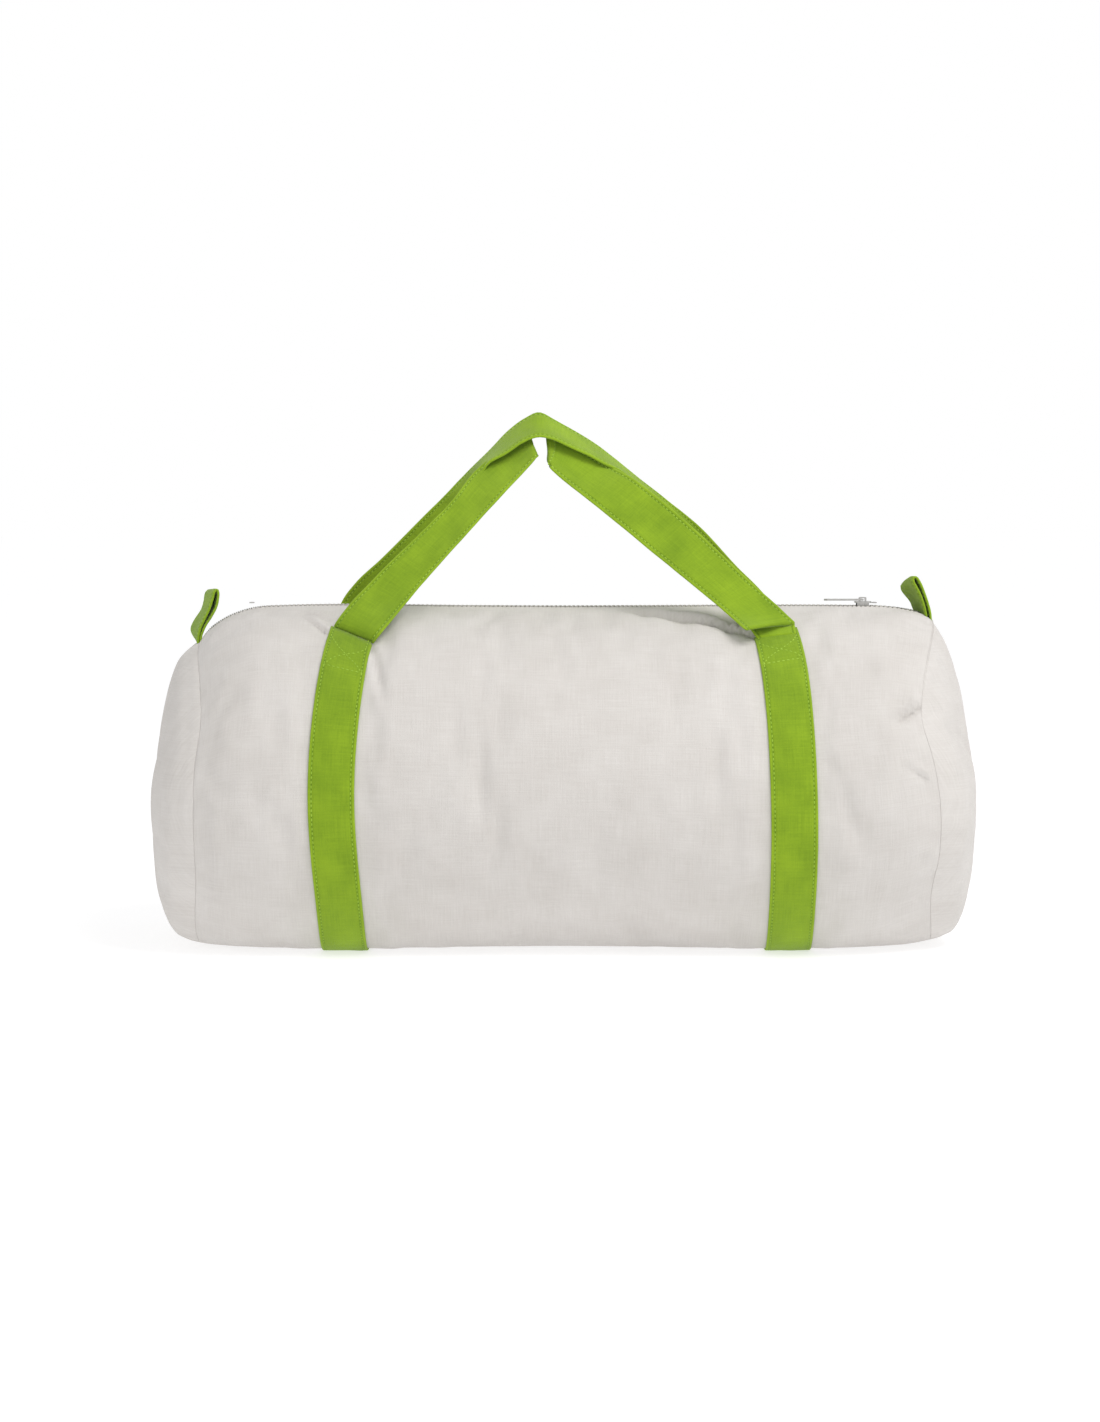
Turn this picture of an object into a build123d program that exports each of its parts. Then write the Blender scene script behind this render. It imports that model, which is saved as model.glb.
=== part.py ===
from build123d import *
import math
import os

# A barrel duffel bag. X runs along the barrel and its zip, -Y is the front, +Z is up, and the
# origin lies on the floor under the middle of the bag. All sizes are in millimetres.

# The barrel: a cloth tube with rounded shoulders, a flat base and domed ends.
radius = 120.0
straight_half = 212.0
seam_half = 244.0
seam_radius = 108.0
end_bulge = 33.4
rim_radius = 22.0
cloth = 1.2
axis_height = 106.2

# The lime strap, which goes round the barrel twice and rises into the two handles.
strap_width = 30.0
strap_thickness = 1.6
strap_place = 144.0
handle_thickness = 1.8
foot_angle = 33.0
foot_radius = 1.2
foot_clearance = 0.3

# The handles, each drawn in its own leaning plane: (along the bag, up from the foot).
front_rise = 66.2
back_rise = 69.0
front_shoulders = ((-53.0, 115.3), (42.0, 113.8))
front_peak = (-15.5, 137.5)
front_crotch = ((-9.5, 119.0), (-10.0, 134.0), (-17.0, 134.0), (-17.6, 126.0))
front_flap = 16.0
flap_reach = (-36.0, 12.0)
back_shoulders = ((-56.0, 122.0), (42.0, 118.1))
back_peak = (-15.5, 159.2)
back_crotch = ((-13.0, 128.0),)
band_gap = 2.2
band_thickness = 2.0

# The zip, which closes a slot along the barrel's top.
slot_half = 11.0
tape_half = 22.0
tape_thickness = 0.8
chain_gap_half = 0.7
coil_half = 3.4
coil_height = 2.0
coil_half_length = 240.0
slide_clearance = 0.3
slider_place = 202.0
slider_half = (5.5, 4.6)
slider_plate = 1.0
slider_flange = 0.9
web_half = (2.0, 0.4)
crown_half = (2.6, 1.0)
crown_height = 2.8
crown_slot = (2.8, 1.9)
pull_length = 26.0
pull_width = 6.4
pull_thickness = 1.2
pull_window = (0.6, 4.0)
pull_hole = 1.4
pull_hinge_height = 1.0
stop_length = 3.0
stop_gap = 0.8
stop_height = 0.8

# The tape that binds the raw seam edge inside each end.
binding_thickness = 1.0
binding_width = 9.0
binding_gap = 0.1

# The end tabs: a folded loop of strap that stands on each end seam.
tab_length = 30.0
tab_half = 3.3
tab_strap = 1.5
tab_slit_end = 4.0
tab_place = (245.2, 216.1)
tab_leans = {"left": 17.0, "right": 30.0}

sides = (("left", -1), ("right", 1))
faces = (("front", -1), ("back", 1))
barrel_axis = Axis((0, 0, axis_height), (1, 0, 0))
section_plane = Plane(origin=(0, 0, axis_height), x_dir=(1, 0, 0), z_dir=(0, -1, 0))
tape_top = axis_height + radius - cloth
coil_top = tape_top + coil_height
dome_radius = (end_bulge**2 + seam_radius * (seam_radius - 2 * rim_radius)) / (2 * (end_bulge - rim_radius))
hinge_radius = radius + strap_thickness + foot_radius + foot_clearance
hinge_out = hinge_radius * math.sin(math.radians(foot_angle))
hinge_height = axis_height + hinge_radius * math.cos(math.radians(foot_angle))


def finish(piece, name):
    """Labels a finished piece and writes it."""
    piece.label = name
    export_step(piece, f"parts/{name}.step")


def barrel_side(inset):
    """Draws the barrel's long side this far under its outer face, and returns its two ends."""
    left = TangentArc(
        (-straight_half, radius - inset), (-seam_half, seam_radius - inset), tangent=(-1, 0)
    )
    top = Line((-straight_half, radius - inset), (straight_half, radius - inset))
    right = TangentArc(top @ 1, (seam_half, seam_radius - inset), tangent=(1, 0))
    return left @ 1, right @ 1


def barrel_solid(inset):
    """The filled barrel this far under its outer face, with its flat base."""
    with BuildPart() as filled:
        with BuildSketch(section_plane):
            with BuildLine():
                left, right = barrel_side(inset)
                Polyline(right, (seam_half, 0), (-seam_half, 0), left)
            make_face()
        revolve(axis=barrel_axis)
        split(bisect_by=Plane.XY.offset(strap_thickness + inset))
    return filled.part


def dome_solid(sign, inset):
    """The filled end dome this far under its outer face, with its flat base."""
    with BuildPart() as filled:
        with BuildSketch(Plane((0, 0, axis_height), x_dir=(sign, 0, 0), z_dir=(0, -sign, 0))):
            with BuildLine():
                rim_middle = seam_radius - rim_radius
                dome_middle = seam_half + end_bulge - dome_radius
                turn = math.degrees(math.atan2(rim_middle, seam_half - dome_middle))
                CenterArc((dome_middle, 0), dome_radius - inset, 0, turn)
                rim = CenterArc((seam_half, rim_middle), rim_radius - inset, turn, 90 - turn)
                Polyline(rim @ 1, (seam_half, 0), (seam_half + end_bulge - inset, 0))
            make_face()
        revolve(axis=barrel_axis)
        split(bisect_by=Plane.XY.offset(strap_thickness + inset))
    return filled.part


def skin_section(outer, inner):
    """The section of the barrel's skin between two depths under its outer face."""
    with BuildSketch(section_plane) as section:
        with BuildLine():
            outer_left, outer_right = barrel_side(outer)
            inner_left, inner_right = barrel_side(inner)
            Line(outer_left, inner_left)
            Line(outer_right, inner_right)
        make_face()
    return section.sketch


def handle_plane(sign, rise):
    """The plane of a handle: its origin on the feet's axis, and its own Y up the handle."""
    across = -sign * math.cos(math.radians(rise))
    up = math.sin(math.radians(rise))
    return Plane((0, sign * hinge_out, hinge_height), x_dir=(1, 0, 0), z_dir=(0, -up, across))


def handle_legs(plane, shoulders, peak, crotch):
    """A handle's two legs, which lie in its plane, with its two rounded feet."""
    outer = strap_place + strap_width / 2
    inner = strap_place - strap_width / 2
    with BuildPart() as legs:
        with BuildSketch(plane):
            with BuildLine():
                Polyline(
                    (-outer, 0), shoulders[0], peak, shoulders[1], (outer, 0), (inner, 0),
                    *crotch, (-inner, 0), close=True,
                )
            make_face()
        extrude(amount=handle_thickness / 2, both=True)
        with Locations(plane):
            with Locations((-strap_place, 0), (strap_place, 0)):
                Cylinder(foot_radius, strap_width, rotation=(0, 90, 0))
    return legs.part


def roof_section(plane, points, above, thickness):
    """A thin roof-shaped strip in a handle's plane, with its underside this far above three points."""
    low = [(x, up + above) for x, up in points]
    high = [(x, up + thickness) for x, up in reversed(low)]
    with BuildSketch(plane) as section:
        with BuildLine():
            Polyline(*low, *high, close=True)
        make_face()
    return section.sketch


def on_outline(x, peak, shoulder):
    """The point at this place on the straight line from a handle's peak to its shoulder."""
    share = (x - peak[0]) / (shoulder[0] - peak[0])
    return (x, peak[1] + share * (shoulder[1] - peak[1]))


os.makedirs("parts", exist_ok=True)
outer_barrel = barrel_solid(0)
barrel_cavity = barrel_solid(cloth)
binding_core = barrel_solid(cloth + binding_thickness)

# The body panel: the rolled cloth, with a slot along its top for the zip.
with BuildPart() as body_panel:
    add(outer_barrel)
    add(barrel_cavity, mode=Mode.SUBTRACT)
    with Locations((0, 0, axis_height + radius)):
        Box(2 * seam_half, 2 * slot_half, radius, mode=Mode.SUBTRACT)
finish(body_panel.part, "body_panel")

for side, sign in sides:
    # The end panel: a domed disc, which meets the body panel edge to edge at the seam.
    dome = dome_solid(sign, 0)
    dome_cavity = dome_solid(sign, cloth)
    with BuildPart() as end_panel:
        add(dome)
        add(dome_cavity, mode=Mode.SUBTRACT)
    finish(end_panel.part, f"{side}_end_panel")

    # The seam binding: a ring of tape inside the seam, open at the top where the zip ends.
    with BuildPart() as seam_binding:
        add(barrel_cavity)
        add(binding_core, mode=Mode.SUBTRACT)
        binding_middle = seam_half - binding_gap - binding_width / 2
        with Locations((sign * binding_middle, 0, axis_height)):
            Box(binding_width, 2 * radius, 2 * radius, mode=Mode.INTERSECT)
        with Locations((sign * binding_middle, 0, axis_height + radius)):
            Box(2 * binding_width, 2 * tape_half + 1, radius, mode=Mode.SUBTRACT)
    finish(seam_binding.part, f"{side}_seam_binding")

    # The girth strap: sewn down the front, under the bag and up the back, below the feet.
    with BuildPart() as girth_strap:
        with BuildSketch(Plane.YZ.offset(sign * strap_place)):
            with Locations((0, axis_height)):
                Circle(radius + strap_thickness)
            strap_end = hinge_height - foot_radius - foot_clearance
            with Locations((0, strap_end / 2)):
                Rectangle(3 * radius, strap_end, mode=Mode.INTERSECT)
        extrude(amount=strap_width / 2, both=True)
        add(outer_barrel, mode=Mode.SUBTRACT)
    finish(girth_strap.part, f"{side}_girth_strap")

    # The end tab: a leaf-shaped loop that leans in over the bag.
    lean = math.radians(tab_leans[side])
    tab_up = (-sign * math.sin(lean), math.cos(lean))
    tab_plane = Plane(
        (sign * tab_place[0], 0, tab_place[1]), x_dir=(tab_up[1], 0, -tab_up[0]), z_dir=(0, -1, 0)
    )
    with BuildPart() as end_tab:
        with BuildSketch(tab_plane):
            with BuildLine():
                ThreePointArc((0, 0), (tab_half, tab_length / 2), (0, tab_length))
                ThreePointArc((0, 0), (-tab_half, tab_length / 2), (0, tab_length))
            make_face()
            slit_half = tab_half - tab_strap
            slit_top = tab_length - tab_slit_end
            with BuildLine():
                ThreePointArc((0, tab_slit_end), (slit_half, tab_length / 2), (0, slit_top))
                ThreePointArc((0, tab_slit_end), (-slit_half, tab_length / 2), (0, slit_top))
            make_face(mode=Mode.SUBTRACT)
            Circle(foot_radius)
        extrude(amount=strap_width / 2, both=True)
    finish(end_tab.part, f"{side}_end_tab")

for face, sign in faces:
    # The zip tape: it lies under the slot's edge and runs from seam to seam.
    with BuildPart() as zip_tape:
        revolve(skin_section(cloth, cloth + tape_thickness), axis=barrel_axis)
        tape_width = tape_half - chain_gap_half
        with Locations((0, sign * (chain_gap_half + tape_width / 2), axis_height + radius)):
            Box(2 * seam_half, tape_width, radius, mode=Mode.INTERSECT)
    finish(zip_tape.part, f"{face}_zip_tape")

    # The zip coil: the tooth coil along the tape's edge, drawn as a plain rail.
    with BuildPart() as zip_coil:
        revolve(skin_section(cloth - coil_height, cloth), axis=barrel_axis)
        coil_width = coil_half - chain_gap_half
        with Locations((0, sign * (chain_gap_half + coil_width / 2), axis_height + radius)):
            Box(2 * coil_half_length, coil_width, radius, mode=Mode.INTERSECT)
    finish(zip_coil.part, f"{face}_zip_coil")

# The zip stops: clips on top of the chain, just past the slider's travel.
stop_place = slider_place + slider_half[0] + stop_gap + stop_length / 2
stop_middle = coil_top + stop_height / 2
with BuildPart() as bottom_stop:
    with Locations((-stop_place, 0, stop_middle)):
        Box(stop_length, 2 * coil_half, stop_height)
finish(bottom_stop.part, "zip_bottom_stop")

with BuildPart() as top_stops:
    stop_out = (coil_half + chain_gap_half) / 2
    with Locations((stop_place, -stop_out, stop_middle), (stop_place, stop_out, stop_middle)):
        Box(stop_length, coil_half - chain_gap_half, stop_height)
finish(top_stops.part, "zip_top_stops")

# The slider: two plates on a thin web, which runs in the gap between the two coils, with
# flanges down the coils' outer sides and a crown that holds the pull.
plate_bottom = coil_top + slide_clearance
plate_top = plate_bottom + slider_plate
under_top = tape_top - tape_thickness - slide_clearance
with BuildPart() as zip_slider:
    with BuildSketch(Plane.XY.offset(plate_bottom)):
        with Locations((slider_place, 0)):
            RectangleRounded(2 * slider_half[0], 2 * slider_half[1], 1.5)
    extrude(amount=slider_plate)
    with BuildSketch(Plane.XY.offset(under_top - slider_plate)):
        with Locations((slider_place, 0)):
            RectangleRounded(2 * slider_half[0] - 1, 2 * slider_half[1] - 1, 1.5)
    extrude(amount=slider_plate)
    with BuildSketch(Plane.XY.offset(under_top)):
        with Locations((slider_place, 0)):
            Rectangle(2 * web_half[0], 2 * web_half[1])
    extrude(amount=plate_bottom - under_top)
    flange_out = slider_half[1] - slider_flange / 2
    with BuildSketch(Plane.XY.offset(tape_top + slide_clearance)):
        with Locations((slider_place, -flange_out), (slider_place, flange_out)):
            Rectangle(2 * slider_half[0] - 3, slider_flange)
    extrude(amount=plate_bottom - tape_top - slide_clearance)
    with BuildSketch(Plane.XY.offset(plate_top)):
        with Locations((slider_place, 0)):
            Rectangle(2 * crown_half[0], 2 * crown_half[1])
    extrude(amount=crown_height)
    with Locations((slider_place, 0, plate_top + crown_slot[1] / 2)):
        Box(crown_slot[0], 2 * crown_half[1], crown_slot[1], mode=Mode.SUBTRACT)
    crown_edges = zip_slider.edges().filter_by(Axis.Y).group_by(Axis.Z)[-1]
    fillet(crown_edges, radius=0.7)
finish(zip_slider.part, "zip_slider")

# The pull: a flat tag on a round crossbar under the crown, with a window that the crown
# passes through, so that it can swing from one side to the other.
pull_middle = plate_top + pull_hinge_height
with BuildPart() as zip_pull:
    with BuildSketch(Plane.XY.offset(pull_middle)):
        with Locations((slider_place - pull_length / 2, 0)):
            RectangleRounded(pull_length, pull_width, 2.4)
        with Locations((slider_place - pull_window[1] / 2, 0)):
            Rectangle(pull_window[1], pull_width)
        with Locations((slider_place - pull_window[1] / 2, 0)):
            Rectangle(pull_window[1], 2 * crown_half[1] + 0.8, mode=Mode.SUBTRACT)
        with Locations((slider_place - pull_length + 2 * pull_hole, 0)):
            Circle(pull_hole, mode=Mode.SUBTRACT)
    extrude(amount=pull_thickness / 2, both=True)
    with Locations((slider_place, 0, pull_middle)):
        Cylinder(pull_window[0], pull_width, rotation=(90, 0, 0))
finish(zip_pull.part, "zip_pull")

# The front handle: its legs end in a flap that is turned back under the back handle's band.
front_plane = handle_plane(-1, front_rise)
front_legs = handle_legs(front_plane, front_shoulders, front_peak, front_crotch)
flap_left = on_outline(flap_reach[0], front_peak, front_shoulders[0])
flap_right = on_outline(flap_reach[1], front_peak, front_shoulders[1])
flap_section = roof_section(
    front_plane, (flap_left, front_peak, flap_right), -handle_thickness, handle_thickness
)
with BuildPart() as front_handle:
    add(front_legs)
    extrude(flap_section, amount=-front_flap)
finish(front_handle.part, "front_handle")

# The back handle: its legs end in a band that comes forward over the front handle's peak.
back_plane = handle_plane(1, back_rise)
back_legs = handle_legs(back_plane, back_shoulders, back_peak, back_crotch)
front_line = (front_shoulders[0], front_peak, front_shoulders[1])
back_line = (back_shoulders[0], back_peak, back_shoulders[1])
near_section = roof_section(front_plane, front_line, band_gap, band_thickness)
far_section = roof_section(back_plane, back_line, -band_thickness, band_thickness)
with BuildPart() as back_handle:
    add(back_legs)
    loft([near_section, far_section], ruled=True)
finish(back_handle.part, "back_handle")
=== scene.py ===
"""Barrel duffel bag: cotton barrel with domed ends, lime straps, two carry handles, end tabs and a top zip.

Lengths are metres. X runs along the barrel, -Y is the front, Z is up and the floor is at Z = 0.
An angle round the barrel is counted from the top of the bag towards its front, in degrees.
"""

import logging
import math
from collections.abc import Callable
from dataclasses import dataclass
from enum import Enum

import bmesh
import bpy
import numpy as np
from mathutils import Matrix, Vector, noise
from mathutils.bvhtree import BVHTree


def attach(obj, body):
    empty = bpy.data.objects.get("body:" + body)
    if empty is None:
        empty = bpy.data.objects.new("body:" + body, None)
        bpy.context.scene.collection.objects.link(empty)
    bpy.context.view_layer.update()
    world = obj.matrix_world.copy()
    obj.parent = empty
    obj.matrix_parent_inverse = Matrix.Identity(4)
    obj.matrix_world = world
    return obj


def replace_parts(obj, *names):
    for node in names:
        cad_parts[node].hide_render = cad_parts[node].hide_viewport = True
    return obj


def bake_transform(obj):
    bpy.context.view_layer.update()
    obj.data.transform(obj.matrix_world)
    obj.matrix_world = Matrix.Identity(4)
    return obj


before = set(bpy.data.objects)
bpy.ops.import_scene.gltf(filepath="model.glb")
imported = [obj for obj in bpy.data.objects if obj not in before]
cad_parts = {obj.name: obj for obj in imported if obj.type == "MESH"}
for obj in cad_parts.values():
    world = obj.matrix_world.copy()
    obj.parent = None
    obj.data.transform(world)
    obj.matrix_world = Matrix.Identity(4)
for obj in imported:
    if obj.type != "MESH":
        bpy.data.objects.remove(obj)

log = logging.getLogger("duffel_bag")

MM = 0.001
Line = tuple[tuple[float, float], ...]
Colour = tuple[float, float, float]
Place = tuple[float, float, float]
Rows = list[tuple[np.ndarray, np.ndarray]]


class Side(Enum):
    """The two ends of the barrel, by the sign of X."""

    LEFT = -1
    RIGHT = 1


class Face(Enum):
    """The two long faces of the barrel, by the sign of Y."""

    FRONT = -1
    BACK = 1


# ---------------------------------------------------------------- numbers and grids


def smooth_line(stations: Line, at: np.ndarray) -> np.ndarray:
    """Reads a smooth line that passes through given stations.

    Args:
        stations: (place, value) pairs in rising order of place.
        at: places to read the line at.

    Returns:
        The line's value at each place, held level past either end.
    """
    place, value = np.array(stations, float).T
    slope = np.gradient(value, place)
    t = np.clip(at, place[0], place[-1])
    i = np.clip(np.searchsorted(place, t, side="right") - 1, 0, len(place) - 2)
    gap = place[i + 1] - place[i]
    u = (t - place[i]) / gap
    start = (2 * u**3 - 3 * u**2 + 1) * value[i] + (u**3 - 2 * u**2 + u) * gap * slope[i]
    stop = (3 * u**2 - 2 * u**3) * value[i + 1] + (u**3 - u**2) * gap * slope[i + 1]
    return start + stop


def smooth_path(points: np.ndarray, places: np.ndarray, at: np.ndarray) -> np.ndarray:
    """Reads a smooth path through points, set at places along it, at other places."""
    lines = [tuple(zip(places, part)) for part in points.T]
    return np.stack([smooth_line(line, at) for line in lines], axis=-1)


def smooth_step(low: float, high: float, at: np.ndarray) -> np.ndarray:
    """Rises smoothly from 0 at low to 1 at high; low may be the larger."""
    t = np.clip((np.asarray(at, float) - low) / (high - low), 0, 1)
    return t * t * (3 - 2 * t)


def soft_floor(value: np.ndarray, level: np.ndarray, radius: float) -> np.ndarray:
    """Keeps value above level, with a rounded corner where the two meet."""
    share = np.clip(0.5 + 0.5 * (value - level) / radius, 0, 1)
    return level * (1 - share) + value * share + radius * share * (1 - share)


def unit(vectors: np.ndarray) -> np.ndarray:
    """Scales vectors to length 1."""
    return vectors / np.maximum(np.linalg.norm(vectors, axis=-1, keepdims=True), 1e-12)


def grid_normals(grid: np.ndarray) -> np.ndarray:
    """Unit normals of a grid of points, on the side that grid_faces takes as outside."""
    return unit(np.cross(np.gradient(grid, axis=1), np.gradient(grid, axis=0)))


def spokes(degrees: np.ndarray) -> np.ndarray:
    """Unit directions straight out of the barrel at angles round it."""
    turn = np.radians(degrees)
    return np.stack([np.zeros_like(turn), -np.sin(turn), np.cos(turn)], axis=-1)


def keep_above(points: np.ndarray, level: float) -> np.ndarray:
    """Lifts the points that are below a level up to it, in place."""
    points[..., 2] = np.maximum(points[..., 2], level)
    return points


def run_length(points: np.ndarray) -> np.ndarray:
    """Distance along a row of points, from its first one."""
    steps = np.linalg.norm(np.diff(points, axis=0), axis=-1)
    return np.concatenate([[0.0], np.cumsum(steps)])


def ripple(points: np.ndarray, size: float, seed: float) -> np.ndarray:
    """Smooth noise in space.

    Args:
        points: places, any shape ending in 3.
        size: the noise's grain in metres.
        seed: moves the pattern, so that two uses differ.

    Returns:
        Values from about -1 to 1, one a point.
    """
    flat = points.reshape(-1, 3) / size + seed
    return np.array([noise.noise(Vector(p)) for p in flat]).reshape(points.shape[:-1])


def grid_faces(rows: int, cols: int, closed: bool = False, flip: bool = False) -> list[tuple[int, ...]]:
    """Quads of a grid stored row by row.

    Args:
        rows: number of rows.
        cols: number of points in a row.
        closed: joins the last point of each row to its first.
        flip: turns the quads over.

    Returns:
        One tuple of four indices a quad.
    """
    faces = []
    for i in range(rows - 1):
        for j in range(cols if closed else cols - 1):
            k = (j + 1) % cols
            quad = (i * cols + j, i * cols + k, (i + 1) * cols + k, (i + 1) * cols + j)
            faces.append(quad[::-1] if flip else quad)
    return faces


# ---------------------------------------------------------------- meshes


def make_mesh(name: str, points: np.ndarray, faces: list, uv: np.ndarray | None = None) -> bpy.types.Object:
    """Makes a smooth-shaded mesh object at the origin.

    Args:
        name: the object's name.
        points: places, any shape ending in 3.
        faces: tuples of indices.
        uv: cloth coordinates in metres, one pair a point.

    Returns:
        The object, linked to the scene.
    """
    mesh = bpy.data.meshes.new(name)
    mesh.from_pydata(points.reshape(-1, 3).tolist(), [], faces)
    mesh.polygons.foreach_set("use_smooth", [True] * len(mesh.polygons))
    if uv is not None:
        corners = np.zeros(len(mesh.loops), int)
        mesh.loops.foreach_get("vertex_index", corners)
        layer = mesh.uv_layers.new(name="cloth")
        layer.data.foreach_set("uv", uv.reshape(-1, 2)[corners].astype(np.float32).ravel())
    mesh.update()
    made = bpy.data.objects.new(name, mesh)
    bpy.context.scene.collection.objects.link(made)
    return made


def freeze(piece: bpy.types.Object) -> bpy.types.Object:
    """Turns a piece and its modifiers into a plain mesh."""
    seen = piece.evaluated_get(bpy.context.evaluated_depsgraph_get())
    mesh = bpy.data.meshes.new_from_object(seen)
    piece.modifiers.clear()
    piece.data = mesh
    return piece


def divide(piece: bpy.types.Object) -> bpy.types.Object:
    """Smooths a piece by one subdivision and keeps the result as its mesh."""
    smooth = piece.modifiers.new("smooth", "SUBSURF")
    smooth.levels = smooth.render_levels = 1
    return freeze(piece)


def thicken(piece: bpy.types.Object, thickness: float) -> bpy.types.Object:
    """Gives a sheet its thickness, on its inner side."""
    wall = piece.modifiers.new("wall", "SOLIDIFY")
    wall.thickness, wall.offset, wall.use_even_offset = thickness, -1, False
    return freeze(piece)


def set_material(piece: bpy.types.Object, material: bpy.types.Material) -> bpy.types.Object:
    """Gives a piece one material."""
    piece.data.materials.clear()
    piece.data.materials.append(material)
    return piece


@dataclass(frozen=True)
class StrapSection:
    """The section of a folded and edge-stitched cotton strap."""

    width: float = 30 * MM
    thickness: float = 1.8 * MM
    stitch_in: float = 2.4 * MM
    stitch_column: int = 5
    groove: float = 0.42

    def places(self) -> np.ndarray:
        """Places across the strap, as shares of its width, closer together at its edges."""
        edge = np.array([0, 0.25, 0.7, 1.4, 1.9, 2.4, 2.9, 3.6, 5.0]) * MM / self.width
        middle = np.linspace(0.24, 0.5, 5)
        half = np.concatenate([edge, middle])
        return np.concatenate([half, 1 - half[-2::-1]])

    def half_thickness(self, share: np.ndarray) -> np.ndarray:
        """Half the strap's thickness at places across it: round edges and a dent along each stitch line."""
        from_edge = np.minimum(share, 1 - share) * self.width
        rounding = np.clip(from_edge / (0.5 * self.thickness), 0, 1)
        body = np.sqrt(np.clip(1 - (1 - rounding) ** 2, 0.02, 1))
        dent = self.groove * np.exp(-(((from_edge - self.stitch_in) / (0.5 * MM)) ** 2))
        return 0.5 * self.thickness * body * (1 - dent)

    def raised(self, grid: np.ndarray) -> tuple[np.ndarray, np.ndarray]:
        """The step from a strap's middle surface to its outer face, and the surface's normals."""
        normals = grid_normals(grid)
        return normals * self.half_thickness(self.places())[None, :, None], normals

    def stitch_lines(self, grid: np.ndarray, rows: slice = slice(None), both_faces: bool = True) -> Rows:
        """The lines along a strap's two edges where its stitches run.

        Args:
            grid: the strap's middle surface.
            rows: the rows that are stitched.
            both_faces: adds the lines on the inner face.

        Returns:
            (points, surface normals) of each line.
        """
        rise, normals = self.raised(grid)
        lines = []
        for column in (self.stitch_column, grid.shape[1] - 1 - self.stitch_column):
            lines.append(((grid + rise)[rows, column], normals[rows, column]))
            if both_faces:
                lines.append(((grid - rise)[rows, column], -normals[rows, column]))
        return lines

    def band(self, name: str, grid: np.ndarray) -> bpy.types.Object:
        """Makes a strap round a grid of points on its middle surface.

        Args:
            name: the piece's name.
            grid: rows along the strap, columns at places() across it.

        Returns:
            The strap as a closed mesh, with its cloth coordinates.
        """
        rows, cols = grid.shape[:2]
        lift, _ = self.raised(grid)
        loop = np.concatenate([grid + lift, (grid - lift)[:, ::-1]], axis=1)
        along = run_length(grid[:, cols // 2])
        across = np.concatenate([self.places(), self.places()[::-1]]) * self.width
        uv = np.stack(np.meshgrid(across, along), axis=-1)
        faces = grid_faces(rows, 2 * cols, closed=True)
        faces += [tuple(range(2 * cols)), tuple(range((rows - 1) * 2 * cols, rows * 2 * cols))[::-1]]
        made = make_mesh(name, loop, faces, uv)
        shell = bmesh.new()
        shell.from_mesh(made.data)
        bmesh.ops.recalc_face_normals(shell, faces=shell.faces)
        shell.to_mesh(made.data)
        shell.free()
        return made


# ---------------------------------------------------------------- shader maths


def add_node(
    tree: bpy.types.NodeTree, kind: str, settings: dict | None = None, values: dict | None = None
) -> bpy.types.Node:
    """Adds a node to a tree.

    Args:
        tree: the tree.
        kind: the node's type.
        settings: its properties, set first.
        values: its inputs by name or number: plain values, Nums or sockets.

    Returns:
        The node.
    """
    node = tree.nodes.new(kind)
    for key, value in (settings or {}).items():
        setattr(node, key, value)
    for key, value in (values or {}).items():
        source = value.out if isinstance(value, Num) else value
        if isinstance(source, bpy.types.NodeSocket):
            tree.links.new(source, node.inputs[key])
        else:
            node.inputs[key].default_value = source
    return node


def operator(operation: str, swapped: bool = False) -> Callable[["Num", "Num | float"], "Num"]:
    """An arithmetic operator of Num; swapped is for the number on its right."""

    def apply(own: "Num", other: "Num | float") -> "Num":
        """Adds the operator's Math node."""
        return own.math(operation, *((other, own) if swapped else (own, other)))

    return apply


@dataclass(frozen=True)
class Num:
    """A number socket; arithmetic on it adds Math nodes."""

    tree: bpy.types.NodeTree
    out: bpy.types.NodeSocket

    def math(self, operation: str, *terms: "Num | float") -> "Num":
        """Adds one Math node.

        Args:
            operation: the node's operation.
            *terms: its inputs, sockets or plain numbers.

        Returns:
            The node's output.
        """
        node = add_node(self.tree, "ShaderNodeMath", {"operation": operation}, dict(enumerate(terms)))
        return Num(self.tree, node.outputs[0])

    __add__, __radd__ = operator("ADD"), operator("ADD", swapped=True)
    __sub__, __rsub__ = operator("SUBTRACT"), operator("SUBTRACT", swapped=True)
    __mul__, __rmul__ = operator("MULTIPLY"), operator("MULTIPLY", swapped=True)
    __truediv__ = operator("DIVIDE")

    def __abs__(self) -> "Num":
        """The size of self."""
        return self.math("ABSOLUTE", self)

    def sine(self) -> "Num":
        """Sine of self."""
        return self.math("SINE", self)

    def near(self, centre: float, reach: float) -> "Num":
        """1 where self is centre, falling to 0 at reach from it."""
        share = abs(self - centre) / reach
        return 1 - self.math("MINIMUM", share, 1.0)


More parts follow.
